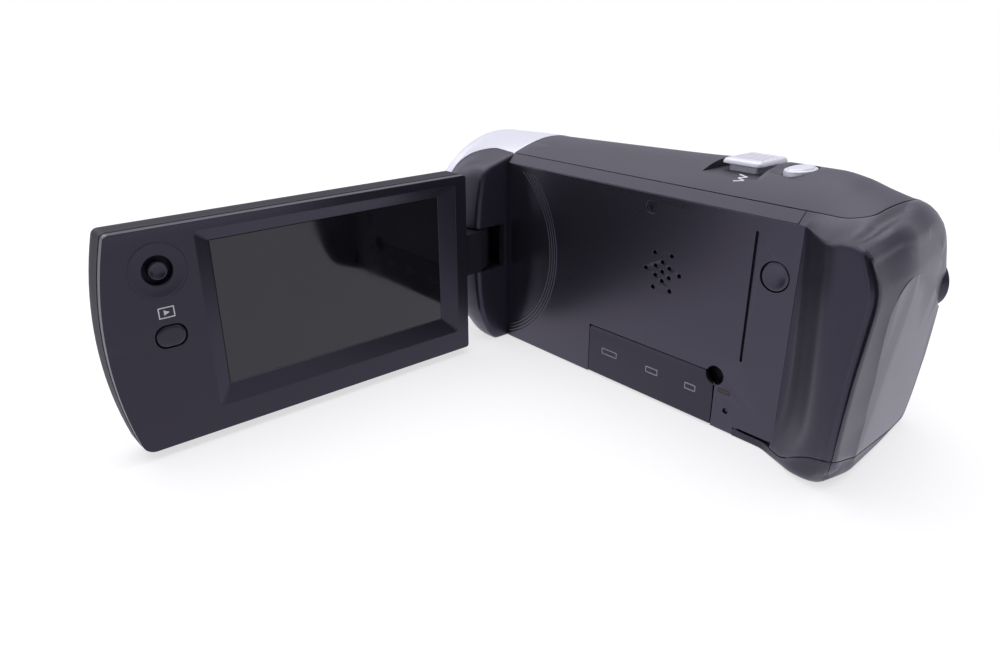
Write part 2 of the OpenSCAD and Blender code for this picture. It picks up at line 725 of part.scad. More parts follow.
// Door over the sockets, turning on two pins along its lower edge
module jack_door() {
    y0 = door_y0 + door_gap;
    y1 = door_y0 + door_l - door_gap;
    color("#2c2c2f") difference() {
        union() {
            block([bay_x, y0, door_axis[2]], [bay_x + door_t, y1, door_h - 3]);
            block([bay_x, y0 + 3, door_axis[2] + 2], [bay_x + door_t, y1 - 1, door_h]);
            for (c = [[y0 + 3, 3], [y1 - 1, 1]])
                rod_x(c[0], door_h - c[1], c[1], bay_x, bay_x + door_t, $fn = 32);
            block([bay_x, y0 + 3, door_h - 3 - EPS], [bay_x + door_t, y1, door_h - 1]);
            rod_y(door_axis[0], door_axis[2], door_t / 2, y0, y1);
        }
        for (y = [y0 - OVER, y1 - 3])
            rod_y(door_axis[0], door_axis[2], 0.35 + run_gap, y, y + 3 + OVER, $fn = 32);
    }
}

// The two pins, held in the side panel's edges
module door_pins() {
    color("#b9bbbe") for (s = [0, 1])
        let (edge = s == 0 ? door_y0 - door_gap : door_y0 + door_l + door_gap)
            rod_y(door_axis[0], door_axis[2], 0.35, s == 0 ? edge : edge - 3,
                  s == 0 ? edge + 3 : edge, $fn = 32);
}

// ---- buttons ----

// Reset plunger behind its small hole
module reset_button() {
    color("#55555a") union() {
        rod_x(-33.5, 5.5, 0.5, bay_x + 0.5, panel_in_x + 0.2 + EPS, $fn = 20);
        rod_x(-33.5, 5.5, 1.2, panel_in_x + 0.2, panel_in_x + 1, $fn = 20);
    }
}
module access_lamp() {
    color("#c87a28") union() {
        block([bay_x + 0.1, -34.1, 9.7], [panel_in_x, -31.1, 10.5]);
        block([panel_in_x, -34.6, 9.2], [panel_in_x + 0.8, -30.6, 11]);
    }
}

// Flush round button in the bay's floor
module power_button() {
    color("#2b2b2e") difference() {
        union() {
            rod_x(power_y, power_z, power_r, bay_x + 0.05, panel_in_x + 0.3);
            rod_x(power_y, power_z, power_r + 0.9, panel_in_x + 0.3 - EPS, panel_in_x + 1);
        }
        translate([bay_x - 11.7, power_y, power_z]) sphere(r = 12);
    }
}

// Ribbed lever in its tub, with a stem and a foot under the deck
module zoom_lever() {
    top = lever_top;
    color("#d6d7da") difference() {
        union() {
            block([zoom_x - zoom_w / 2, zoom_y - zoom_l / 2, deck_z + 1.55],
                  [zoom_x + zoom_w / 2, zoom_y + zoom_l / 2, top - 0.4]);
            block([zoom_x - zoom_w / 2 + 0.5, zoom_y - zoom_l / 2 + 0.5, top - 0.5],
                  [zoom_x + zoom_w / 2 - 0.5, zoom_y + zoom_l / 2 - 0.5, top]);
            block([zoom_x - 2, zoom_y - 1.5, deck_z - 0.3],
                  [zoom_x + 2, zoom_y + 1.5, deck_z + 1.6]);
            block([zoom_x - 4, zoom_y - 3, deck_z - 1.4], [zoom_x + 4, zoom_y + 3, deck_z - 0.3]);
        }
        for (k = [-2:2])
            block([zoom_x + k * 1.4 - 0.25, zoom_y - zoom_l, top - 0.3],
                  [zoom_x + k * 1.4 + 0.25, zoom_y + zoom_l, top + OVER]);
    }
}

module photo_button() {
    color("#d2d3d6") union() {
        oval_z(photo_x, photo_y, 11, 6.6, deck_z - 0.3, crest_back + 0.1);
        oval_z(photo_x, photo_y, 9.6, 5.2, crest_back + 0.1 - EPS, crest_back + 0.5);
        oval_z(photo_x, photo_y, 11.8, 7.6, deck_z - 1.2, deck_z - 0.3 + EPS);
    }
}

module control_board() {
    color("#27553a") difference() {
        block([-9, -42, board_top - board_t], [12, -15.6, board_top]);
        rod_z(6, photo_y, 1, board_top - 3, board_top + OVER);
    }
}

// Small switches under the photo button and the zoom lever
module control_switches() {
    color("#a9acb0") union() {
        block([photo_x - 2.6, photo_y - 2.6, board_top], [photo_x + 2.6, photo_y + 2.6, board_top + 1]);
        rod_z(photo_x, photo_y, 1.4, board_top + 1 - EPS, board_top + 1.4, $fn = 32);
    }
    color("#a9acb0") block([zoom_x - 4.4, zoom_y - 1.4, board_top],
                           [zoom_x + 4.4, zoom_y + 1.4, board_top + 1.9]);
}

// Record button at the back's right corner, pressed along the corner's diagonal
module record_button() {
    color("#2c2c30") translate(record_at) rotate([90, 0, record_turn]) difference() {
        union() {
            translate([0, 0, -4.2]) cylinder(h = 5.2, r = record_r);
            translate([0, 0, -5]) cylinder(h = 0.9, r = record_r + 0.6);
        }
        translate([0, 0, 20.6]) sphere(r = 20);
    }
}
module record_collar() {
    color("#c9cacd") translate(record_at) rotate([90, 0, record_turn]) difference() {
        translate([0, 0, -6]) cylinder(h = 7, r = record_r + 1.4);
        translate([0, 0, -4.05]) cylinder(h = 8, r = record_r + button_gap);
        translate([0, 0, -5.7]) cylinder(h = 3, r = record_r + 0.9);
    }
}

// ---- battery bay ----

module battery_case() {
    o = battery_at;
    color("#39393c") difference() {
        block(o - [case_t + 0.3, case_t + 0.3, 0],
              o + [battery_w + case_t + 0.3, battery_l + case_t + 0.3, battery_h + case_t + 2.4]);
        block(o - [0.3, 0.3, OVER], o + [battery_w + 0.3, battery_l + 0.3, battery_h + 2.4]);
    }
}
module battery_pack() {
    o = battery_at + [0, 0, 0.2];
    color("#4a4d52") union() {
        block(o + [0, battery_w / 2, 0], o + [battery_w, battery_l, battery_h]);
        rod_z(o[0] + battery_w / 2, o[1] + battery_w / 2, battery_w / 2, o[2], o[2] + battery_h);
        block(o + [0, battery_w / 2 - EPS, 0], o + [battery_w, battery_w, battery_h]);
    }
}

// Three sprung contacts above the battery
module battery_contacts() {
    z = battery_at[2] + battery_h + 0.2;
    color("#c9a84c") for (k = [0:2])
        block([battery_at[0] + 2.2, battery_at[1] + 14 + 4 * k, z + 0.1],
              [battery_at[0] + 7, battery_at[1] + 15.6 + 4 * k, z + 2.2]);
}

// Sliding cover under the battery
module battery_cover() {
    z0 = cover_lift;
    z1 = cover_lift + battery_cover_t;
    color("#2d2d30") difference() {
        intersection() {
            hull() {
                slab(mid_pts(crest_back - 2.2, 0), -bulge_y + 2);
                slab(mid_pts(crest_back - 2.2, 0), base_rear - 0.2 - FACE);
                slab(bulge_pts(crest_back - 2.6, 0), -bulge_y - 3.8);
                slab(bulge_pts(crest_back - 4.2, 0), -rear_reach + 6.5);
                slab(drawn_in(bulge_pts(crest_back - 4.2, 0), 0.86), -rear_reach + 2.5);
            }
            block([-40, -rear_reach, z0], [40, base_rear - 0.2, z1]);
        }
        // step that clears the lower corner of the closed panel
        block([-40, -bulge_y - 2.4, panel_z - panel_gap], [bay_x - EPS, base_rear, z1 + OVER]);
        // space of the latch's tongue
        block([-2.3, -38, 0.75], [2.3, base_rear, z1 + OVER]);
        // grip ridges under the back
        for (k = [0:3])
            block([-9, -56.6 + 2.2 * k, z0 - OVER], [9, -55.8 + 2.2 * k, z0 + 0.4]);
    }
}

// Latch that the thumb pulls forward to free the battery cover
module battery_latch() {
    color("#3f3f44") union() {
        block([-4, -34.6, 0.35], [4, -28, base_t - 0.35]);
        block([-2, -37.6, 0.9], [2, -34.6 + EPS, base_t - 0.35]);
        for (k = [0:2])
            block([-3, -33.2 + 1.8 * k, 0.1], [3, -32.4 + 1.8 * k, 0.35 + EPS]);
    }
}

// ---- fasteners and mounts ----

// Threaded metal insert in the base
module tripod_socket() {
    color("#b9bbbf") difference() {
        union() {
            rod_z(0, 0, 5, 0, tripod_depth + 0.6);
        }
        rod_z(0, 0, tripod_r, -OVER, tripod_depth);
    }
}

// Cross-head screws: one in the bay, two that hold the main board
module case_screws() {
    color("#8a8c90") union() {
        difference() {
            union() {
                rod_x(-8.1, 48.6, 1.4, bay_x + 0.15, bay_x + 0.8, $fn = 32);
                rod_x(-8.1, 48.6, 0.8, bay_x + 0.8 - EPS, panel_in_x - 0.2, $fn = 24);
            }
            block([bay_x, -8.3, 47.8], [bay_x + 0.5, -7.9, 49.4]);
            block([bay_x, -8.9, 48.4], [bay_x + 0.5, -7.3, 48.8]);
        }
    }
    color("#8a8c90") for (y = [-30, 6]) {
        rod_x(y, 46, 1.05, main_board_x, main_board_x + 1.2, $fn = 32);
        rod_x(y, 46, 1.9, main_board_x - 0.8, main_board_x, $fn = 32);
    }
}

// ---- hand belt ----

belt_half = (belt_front_y - belt_rear_y) / 2;
belt_mid_y = (belt_front_y + belt_rear_y) / 2;
belt_r = (belt_half * belt_half + belt_stand * belt_stand) / (2 * belt_stand);
belt_cx = side_right + 1.6 + belt_stand - belt_r;

// A band that follows the belt's curve, between two radii and along y0 to y1
module band(r0, r1, w, y0, y1) {
    a0 = asin((y0 - belt_mid_y) / belt_r);
    a1 = asin((y1 - belt_mid_y) / belt_r);
    translate([belt_cx, belt_mid_y, belt_z - w / 2])
        rotate([0, 0, a0]) rotate_extrude(angle = a1 - a0, $fn = 180)
            translate([r0, 0]) square([r1 - r0, w]);
}
module hand_belt() {
    color("#26262a") band(belt_r, belt_r + belt_t, belt_w, belt_rear_y + 1.1, belt_front_y - 1.1);
}
module belt_pad() {
    color("#1f1f22") band(belt_r - pad_t, belt_r - 0.02, belt_w + 9, belt_mid_y - 24, belt_mid_y + 24);
}

// Anchors that clamp the belt's ends to the right side
module belt_anchors() {
    color("#3a3a3e") for (a = [[belt_front_y, belt_front_y + anchor_l],
                               [belt_rear_y - anchor_l, belt_rear_y]])
        difference() {
            union() {
                block([side_right, a[0], belt_z - belt_w / 2 - 1.5],
                      [side_right + 4.6, a[1], belt_z + belt_w / 2 + 1.5]);
                rod_x((a[0] + a[1]) / 2, belt_z, 1, side_right - 3.5, side_right + EPS, $fn = 32);
            }
            block([side_right + 4.1, a[0] + 1.4, belt_z - belt_w / 2],
                  [side_right + 4.6 + OVER, a[1] - 1.4, belt_z + belt_w / 2]);
        }
}

// ---- hinge ----

module hinge_pin() {
    color("#b4b6ba") rod_z(hinge_x, hinge_y, pin_r, block_z0 - pin_end,
                           block_z0 + block_h + pin_end);
}

// Turning block: a drum on the pin, with an arm to the panel's edge
module hinge_block() {
    color("#232326") difference() {
        union() {
            rod_z(hinge_x, hinge_y, drum_r, block_z0, block_z0 + block_h);
            block([panel_x + panel_gap, post_y - 1.2, block_z0],
                  [hinge_x - 1, hinge_y, block_z0 + block_h]);
        }
        rod_z(hinge_x, hinge_y, pin_r, block_z0 - OVER, block_z0 + block_h + OVER);
        rod_x(tilt_y, tilt_z, shaft_r, panel_x - OVER, hinge_x - pin_r - 1);
    }
}

// Hollow shaft on which the panel tilts; the wires run through it
module tilt_shaft() {
    color("#a8aaae") difference() {
        rod_x(tilt_y, tilt_z, shaft_r, panel_x - 6.2, hinge_x - pin_r - 1);
        rod_x(tilt_y, tilt_z, 1.1, panel_x - 6.2 - OVER, hinge_x);
    }
}

// ---- screen panel ----

// Places children in the panel's own frame: u to the free end, v up, depth from the face
module on_panel() {
    translate([panel_x, screen_y, panel_z]) mirror([1, 0, 0]) rotate([90, 0, 0])
        mirror([0, 0, 1]) children();
}

// Front bezel with a sloping frame around the screen and a dish for the selector
module panel_bezel() {
    m = screen_margin;
    r = screen_rise;
    color("#2b2b2f") difference() {
        on_panel() linear_extrude(bezel_t) polygon(panel_pts(0.25));
        on_panel() {
            hull() {
                translate([m - 5, r - 4.7, -EPS]) cube([screen_w + 8.2, screen_h + 7.4, EPS]);
                translate([m, r, 1]) cube([screen_w, screen_h, EPS]);
            }
            translate([m, r, -OVER]) cube([screen_w, screen_h, bezel_t + 2 * OVER]);
            translate([selector_u, selector_v, -16.6]) sphere(r = 17.6);
            translate([selector_u, selector_v, -OVER])
                cylinder(h = bezel_t + 2 * OVER, r = selector_r + 1);
            translate([view_u, view_v, -OVER])
                oval_z(0, 0, 6.6 + 2 * button_gap, 4.8 + 2 * button_gap, 0, bezel_t + 2 * OVER);
            // relief around the tilting shaft
            translate([-OVER, tilt_z - panel_z, panel_t / 2]) rotate([0, 90, 0])
                cylinder(h = 6, r = shaft_r + 0.5);
        }
    }
}

// Domed back shell
module panel_shell() {
    color("#26262a") difference() {
        on_panel() hull() {
            translate([0, 0, bezel_t]) linear_extrude(FACE) polygon(panel_pts(0));
            translate([0, 0, panel_t - 3.4]) linear_extrude(FACE) polygon(panel_pts(0));
            translate([0, 0, panel_t - 1.6]) linear_extrude(FACE) polygon(panel_pts(1.1));
            translate([3, 3, panel_t - 0.5]) cube([panel_l - 9, panel_h - 6, FACE]);
            translate([9, 9, panel_t - FACE]) cube([panel_l - 22, panel_h - 18, FACE]);
        }
        on_panel() {
            translate([0, 0, bezel_t - OVER]) linear_extrude(panel_t - 3.6 - bezel_t + OVER)
                polygon(panel_pts(shell_wall));
            translate([4, 4, panel_t - 4]) cube([panel_l - 11, panel_h - 8, 2.2]);
            translate([shell_wall, tilt_z - panel_z - 5.3, bezel_t - OVER])
                cube([5, 10.6, panel_t - 2.4 - bezel_t + OVER]);
            translate([-OVER, tilt_z - panel_z, panel_t / 2]) rotate([0, 90, 0])
                cylinder(h = shell_wall + 2 * OVER, r = shaft_r + 0.5);
        }
    }
}

module screen_glass() {
    color("#0b0b0dcc") on_panel() translate([screen_margin + 0.1, screen_rise + 0.1, 1.05])
        cube([screen_w - 0.2, screen_h - 0.2, bezel_t - 1.05]);
}

// Display with its backlight frame, and the panel's small circuit board
module screen_module() {
    color("#777a7e") on_panel() union() {
        translate([screen_margin - 1.5, screen_rise - 1.5, bezel_t])
            cube([screen_w + 3, screen_h + 3, 2.4]);
        translate([screen_margin + 4, screen_rise + 2, bezel_t + 2.4 - EPS])
            cube([screen_w - 8, screen_h - 4, 1.3]);
        translate([screen_margin, screen_rise - 4, bezel_t + 3.6])
            cube([screen_w + 17.5, screen_h + 2, 1]);
    }
}

// Steel bracket that the shaft turns in, fixed inside the panel's hinge edge
module tilt_bracket() {
    u0 = shell_wall + 0.3;
    color("#a0a2a6") difference() {
        on_panel() translate([u0, tilt_z - panel_z - 5, bezel_t + 0.05]) cube([4.2, 10, 6.8]);
        rod_x(tilt_y, tilt_z, shaft_r + run_gap, panel_x - 10, panel_x + OVER);
    }
}

// Selector: a cap on a stem, with the ball that it rocks on
module selector_stick() {
    color("#2a2a2e") on_panel() translate([selector_u, selector_v, 0]) union() {
        translate([0, 0, 0.05]) cylinder(h = 1.3, r = selector_r);
        translate([0, 0, 1]) cylinder(h = 2, r = 0.9);
        translate([0, 0, pivot_y - screen_y]) sphere(r = 1.4, $fn = ROUND);
    }
}

// Ring that the ball rocks in, rocking itself the other way
module selector_ring() {
    color("#8c8e92") on_panel() translate([selector_u, selector_v, pivot_y - screen_y - 0.4])
        difference() {
            cylinder(h = 0.8, r = 2.4);
            translate([0, 0, 0.4]) sphere(r = 1.4 + run_gap);
        }
}

module view_button() {
    color("#2d2d31") on_panel() translate([view_u, view_v, 0]) union() {
        oval_z(0, 0, 6.6, 4.8, 0.02, bezel_t + 0.3);
        oval_z(0, 0, 7.8, 6, bezel_t + 0.3 - EPS, bezel_t + 1);
    }
}

side_panel();
top_strip();
top_cover();
right_shell();
base_plate();
rear_body();
front_housing();
front_ring();
face_plate();
shutter_upper();
shutter_lower();
cover_switch();
lens_barrel();
front_lens();
zoom_lens();
focus_lens();
lens_holders();
sensor_board();
main_board();
board_chips();
heat_shield();
jack_board();
hdmi_socket();
usb_socket();
card_slot();
speaker();
speaker_mesh();
microphones();
jack_door();
door_pins();
reset_button();
access_lamp();
power_button();
zoom_lever();
photo_button();
control_board();
control_switches();
record_button();
record_collar();
battery_case();
battery_pack();
battery_contacts();
battery_cover();
battery_latch();
tripod_socket();
case_screws();
belt_anchors();
hand_belt();
belt_pad();
hinge_pin();
hinge_block();
tilt_shaft();
panel_bezel();
panel_shell();
screen_glass();
screen_module();
tilt_bracket();
selector_ring();
selector_stick();
view_button();
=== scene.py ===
"""A palm-size camcorder with its screen folded out, dressed for close views.

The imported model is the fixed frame. Each sub-assembly is a class that holds its sizes in
millimetres, builds its visible pieces in mesh code and hands them to the body that carries them.
Frame: +X to the camcorder's right, +Y towards the lens, +Z up, origin at the tripod socket.
"""

from __future__ import annotations

import json
import logging
import math
from contextlib import contextmanager
from dataclasses import dataclass, field
from enum import Enum
from typing import Callable, Iterable, Iterator, Sequence

import bmesh
import bpy
import numpy as np
from mathutils import Matrix, Vector

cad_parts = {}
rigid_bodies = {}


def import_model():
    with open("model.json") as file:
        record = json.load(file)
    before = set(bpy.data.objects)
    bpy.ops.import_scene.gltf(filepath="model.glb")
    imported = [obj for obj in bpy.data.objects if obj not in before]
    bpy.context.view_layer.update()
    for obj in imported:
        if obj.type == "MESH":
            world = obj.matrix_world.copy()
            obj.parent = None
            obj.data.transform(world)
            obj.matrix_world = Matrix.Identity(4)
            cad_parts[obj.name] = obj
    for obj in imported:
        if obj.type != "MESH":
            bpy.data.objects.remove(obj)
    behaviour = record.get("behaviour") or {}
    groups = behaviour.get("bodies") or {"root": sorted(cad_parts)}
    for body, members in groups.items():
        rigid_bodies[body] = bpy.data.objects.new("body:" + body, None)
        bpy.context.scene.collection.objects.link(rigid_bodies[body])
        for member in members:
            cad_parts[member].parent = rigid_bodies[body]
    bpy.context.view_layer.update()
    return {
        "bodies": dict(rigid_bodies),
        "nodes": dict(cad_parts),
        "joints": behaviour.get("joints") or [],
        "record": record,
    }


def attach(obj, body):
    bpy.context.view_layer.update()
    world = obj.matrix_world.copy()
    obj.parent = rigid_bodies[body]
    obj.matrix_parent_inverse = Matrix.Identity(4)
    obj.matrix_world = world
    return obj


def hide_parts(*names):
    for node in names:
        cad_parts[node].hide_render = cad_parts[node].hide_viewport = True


MM = 0.001
WELD_M = 2e-6  # corners closer than this many metres are welded
IMAGE_WIDTH = 1000

log = logging.getLogger("camcorder")

Piece = bpy.types.Object
Point = Sequence[float]
Pair = tuple[float, float]
Box = tuple[float, float, float, float]
Loop = list[Pair]
Placer = Callable[[float, float, float], Point]


# --- Colour and node helpers ---


def linear(code: str) -> tuple[float, float, float, float]:
    """Turns an sRGB hex colour into linear values.

    Args:
        code: six hex digits, with or without a leading hash.

    Returns:
        Linear red, green, blue and an alpha of 1.
    """
    code = code.lstrip("#")
    values = [int(code[k : k + 2], 16) / 255 for k in (0, 2, 4)]
    red, green, blue = [
        v / 12.92 if v <= 0.04045 else ((v + 0.055) / 1.055) ** 2.4 for v in values
    ]
    return red, green, blue, 1.0


def per_metre(size_mm: float) -> float:
    """Returns the texture scale whose features measure size_mm."""
    return 1.0 / (size_mm * MM)


def add_node(
    tree: bpy.types.NodeTree, kind: str, links: dict | None = None, **settings: object
) -> bpy.types.Node:
    """Adds one node, sets its properties and sockets and links its inputs.

    Args:
        tree: the node tree that gets the node.
        kind: the node's type name.
        links: input name or index to a value, or to a (node, output) pair.
        settings: properties of the node itself.

    Returns:
        The new node.
    """
    node = tree.nodes.new(kind)
    for name, value in settings.items():
        setattr(node, name, value)
    for socket, value in (links or {}).items():
        if isinstance(value, tuple) and value and isinstance(value[0], bpy.types.Node):
            tree.links.new(value[0].outputs[value[1]], node.inputs[socket])
        else:
            node.inputs[socket].default_value = value
    return node


# --- Finishes ---


@dataclass(frozen=True)
class Finish:
    """A surface finish; subclasses draw its nodes."""

    label: str
    slot: str

    def draw(self, tree: bpy.types.NodeTree, shader: bpy.types.Node) -> None:
        """Draws the finish's own nodes into the shader."""
        raise NotImplementedError

    def material(self) -> bpy.types.Material:
        """Returns the finish's material, made on first use."""
        known = bpy.data.materials.get(self.label)
        if known:
            return known
        made = bpy.data.materials.new(self.label)
        made.use_nodes = True
        tree = made.node_tree
        tree.nodes.clear()
        shader = add_node(tree, "ShaderNodeBsdfPrincipled")
        add_node(tree, "ShaderNodeOutputMaterial", {"Surface": (shader, "BSDF")})
        self.draw(tree, shader)
        return made


@dataclass(frozen=True)
class MouldedPlastic(Finish):
    """ABS moulded against a spark-eroded steel tool.

    The tool leaves a fine even grain that breaks up highlights, so the plastic looks matte and
    slightly velvety, and handling polishes its edges to a soft sheen.
    """

    colour: str = "26262a"
    worn: str = "303035"
    roughness: float = 0.5
    grain_mm: float = 0.22
    grain_depth_mm: float = 0.012
    specular: float = 0.5

    def draw(self, tree: bpy.types.NodeTree, shader: bpy.types.Node) -> None:
        """Draws the eroded grain, faint mottling and the polished edges."""
        place = add_node(tree, "ShaderNodeTexCoord")
        grain = add_node(tree, "ShaderNodeTexNoise",
                         {"Vector": (place, "Object"), "Scale": per_metre(self.grain_mm), "Detail": 2.0})
        cloud = add_node(tree, "ShaderNodeTexNoise",
                         {"Vector": (place, "Object"), "Scale": per_metre(9.0), "Detail": 3.0})
        where = add_node(tree, "ShaderNodeNewGeometry")
        edge = add_node(tree, "ShaderNodeMapRange",
                        {"Value": (where, "Pointiness"), "From Min": 0.52, "From Max": 0.6,
                         "To Min": 0.0, "To Max": 0.7})
        mottle = add_node(tree, "ShaderNodeMapRange",
                          {"Value": (cloud, "Fac"), "From Min": 0.35, "From Max": 0.65, "To Min": 0.0,
                           "To Max": 0.1})
        share = add_node(tree, "ShaderNodeMath",
                         {0: (edge, "Result"), 1: (mottle, "Result")}, operation="ADD", use_clamp=True)
        colour = add_node(tree, "ShaderNodeMix",
                          {"Factor": (share, "Value"), 6: linear(self.colour), 7: linear(self.worn)},
                          data_type="RGBA")
        tree.links.new(colour.outputs[2], shader.inputs["Base Color"])
        sheen = add_node(tree, "ShaderNodeMapRange",
                         {"Value": (share, "Value"), "From Min": 0.0, "From Max": 1.0,
                          "To Min": self.roughness, "To Max": self.roughness - 0.09})
        tree.links.new(sheen.outputs["Result"], shader.inputs["Roughness"])
        shader.inputs["Specular IOR Level"].default_value = self.specular
        shader.inputs["Specular Tint"].default_value = linear("e9e3ff")
        shader.inputs["IOR"].default_value = 1.52
        bump = add_node(tree, "ShaderNodeBump",
                        {"Height": (grain, "Fac"), "Strength": 0.55,
                         "Distance": self.grain_depth_mm * MM})
        tree.links.new(bump.outputs["Normal"], shader.inputs["Normal"])


@dataclass(frozen=True)
class SatinPaint(Finish):
    """Metallic lacquer sprayed on ABS.

    Fine aluminium flake under a satin clear coat gives a cool grey that brightens where it
    faces the light.
    """

    colour: str = "c3c4cb"
    flake: str = "d4d5dc"
    roughness: float = 0.34
    flake_mm: float = 0.16

    def draw(self, tree: bpy.types.NodeTree, shader: bpy.types.Node) -> None:
        """Draws the flake and the satin coat."""
        place = add_node(tree, "ShaderNodeTexCoord")
        cells = add_node(tree, "ShaderNodeTexVoronoi",
                         {"Vector": (place, "Object"), "Scale": per_metre(self.flake_mm)})
        bright = add_node(tree, "ShaderNodeMapRange",
                          {"Value": (cells, "Distance"), "From Min": 0.1, "From Max": 0.7})
        colour = add_node(tree, "ShaderNodeMix",
                          {"Factor": (bright, "Result"), 6: linear(self.flake), 7: linear(self.colour)},
                          data_type="RGBA")
        tree.links.new(colour.outputs[2], shader.inputs["Base Color"])
        shader.inputs["Metallic"].default_value = 0.25
        shader.inputs["Roughness"].default_value = self.roughness
        bump = add_node(tree, "ShaderNodeBump",
                        {"Height": (cells, "Distance"), "Strength": 0.15, "Distance": 0.004 * MM})
        tree.links.new(bump.outputs["Normal"], shader.inputs["Normal"])


@dataclass(frozen=True)
class PolishedPlastic(Finish):
    """Polished acrylic or ABS from a mirror-finished tool: dark, with clear reflections."""

    colour: str = "0c0c0f"
    haze: str = "141418"
    roughness: float = 0.07
    specular: float = 0.5

    def draw(self, tree: bpy.types.NodeTree, shader: bpy.types.Node) -> None:
        """Draws a faint haze of dust and wiping over the gloss."""
        place = add_node(tree, "ShaderNodeTexCoord")
        smear = add_node(tree, "ShaderNodeTexNoise",
                         {"Vector": (place, "Object"), "Scale": per_metre(14.0), "Detail": 5.0})
        share = add_node(tree, "ShaderNodeMapRange",
                         {"Value": (smear, "Fac"), "From Min": 0.4, "From Max": 0.7})
        colour = add_node(tree, "ShaderNodeMix",
                          {"Factor": (share, "Result"), 6: linear(self.colour), 7: linear(self.haze)},
                          data_type="RGBA")
        tree.links.new(colour.outputs[2], shader.inputs["Base Color"])
        rough = add_node(tree, "ShaderNodeMapRange",
                         {"Value": (share, "Result"), "To Min": self.roughness,
                          "To Max": self.roughness + 0.05})
        tree.links.new(rough.outputs["Result"], shader.inputs["Roughness"])
        shader.inputs["Specular IOR Level"].default_value = self.specular
        shader.inputs["IOR"].default_value = 1.49


@dataclass(frozen=True)
class TurnedSteel(Finish):
    """Nickel-plated steel, turned or pressed: grey metal with fine tool lines."""

    colour: str = "9a9ca0"
    dark: str = "7c7e83"
    roughness: float = 0.32
    line_mm: float = 0.12

    def draw(self, tree: bpy.types.NodeTree, shader: bpy.types.Node) -> None:
        """Draws tool lines that stretch along the piece."""
        place = add_node(tree, "ShaderNodeTexCoord")
        stretch = add_node(tree, "ShaderNodeMapping",
                           {"Vector": (place, "Object"), "Scale": (1.0, 1.0, 0.08)})
        lines = add_node(tree, "ShaderNodeTexNoise",
                         {"Vector": (stretch, "Vector"), "Scale": per_metre(self.line_mm),
                          "Detail": 2.0})
        colour = add_node(tree, "ShaderNodeMix",
                          {"Factor": (lines, "Fac"), 6: linear(self.colour), 7: linear(self.dark)},
                          data_type="RGBA")
        tree.links.new(colour.outputs[2], shader.inputs["Base Color"])
        shader.inputs["Metallic"].default_value = 1.0
        shader.inputs["Roughness"].default_value = self.roughness
        bump = add_node(tree, "ShaderNodeBump",
                        {"Height": (lines, "Fac"), "Strength": 0.3, "Distance": 0.004 * MM})
        tree.links.new(bump.outputs["Normal"], shader.inputs["Normal"])


@dataclass(frozen=True)
class Laminate(Finish):
    """Glass-epoxy circuit board under green solder mask, with faint copper runs below."""

    colour: str = "1d5a33"
    copper: str = "2f7a45"
    track_mm: float = 1.1

    def draw(self, tree: bpy.types.NodeTree, shader: bpy.types.Node) -> None:
        """Draws the runs of copper that show through the mask."""
        place = add_node(tree, "ShaderNodeTexCoord")
        tracks = add_node(tree, "ShaderNodeTexBrick",
                          {"Vector": (place, "Object"), "Scale": per_metre(self.track_mm) * 0.5,
                           "Color1": linear(self.colour), "Color2": linear(self.colour),
                           "Mortar": linear(self.copper), "Mortar Size": 0.03})
        tree.links.new(tracks.outputs["Color"], shader.inputs["Base Color"])
        shader.inputs["Roughness"].default_value = 0.35


@dataclass(frozen=True)
class CoatedGlass(Finish):
    """Optical glass with a violet anti-reflection coating."""

    colour: str = "6f7fa8"

    def draw(self, tree: bpy.types.NodeTree, shader: bpy.types.Node) -> None:
        """Draws clear dark glass with a tinted coat."""
        edge = add_node(tree, "ShaderNodeLayerWeight", {"Blend": 0.35})
        colour = add_node(tree, "ShaderNodeMix",
                          {"Factor": (edge, "Facing"), 6: linear(self.colour), 7: linear("3a2f63")},
                          data_type="RGBA")
        tree.links.new(colour.outputs[2], shader.inputs["Base Color"])
        shader.inputs["Roughness"].default_value = 0.02
        shader.inputs["IOR"].default_value = 1.6
        shader.inputs["Transmission Weight"].default_value = 0.85


@dataclass(frozen=True)
class WovenNylon(Finish):
    """Nylon webbing or knitted spacer cloth: crossing yarns, with a painted highlight on their crowns.
    """

    colour: str = "17171a"
    # crown: the lighter colour painted on the yarn crowns as a highlight
    crown: str = "2b2b30"
    yarn_mm: float = 0.9

    def draw(self, tree: bpy.types.NodeTree, shader: bpy.types.Node) -> None:
        """Draws warp and weft as two crossing wave patterns, painted lighter where they cross as a
        highlight.
        """
        place = add_node(tree, "ShaderNodeTexCoord")
        waves = []
        for direction in ("Y", "Z"):
            waves.append(
                add_node(tree, "ShaderNodeTexWave",
                         {"Vector": (place, "Object"), "Scale": per_metre(self.yarn_mm) / 3.0,
                          "Distortion": 0.4}, bands_direction=direction)
            )
        cross = add_node(tree, "ShaderNodeMath",
                         {0: (waves[0], "Fac"), 1: (waves[1], "Fac")}, operation="MULTIPLY")
        # painted highlight: where warp and weft cross, the lighter crown colour is painted in
        colour = add_node(tree, "ShaderNodeMix",
                          {"Factor": (cross, "Value"), 6: linear(self.colour), 7: linear(self.crown)},
                          data_type="RGBA")
        tree.links.new(colour.outputs[2], shader.inputs["Base Color"])
        shader.inputs["Roughness"].default_value = 0.85
        shader.inputs["Sheen Weight"].default_value = 0.35
        bump = add_node(tree, "ShaderNodeBump",
                        {"Height": (cross, "Value"), "Strength": 0.8, "Distance": 0.15 * MM})
        tree.links.new(bump.outputs["Normal"], shader.inputs["Normal"])


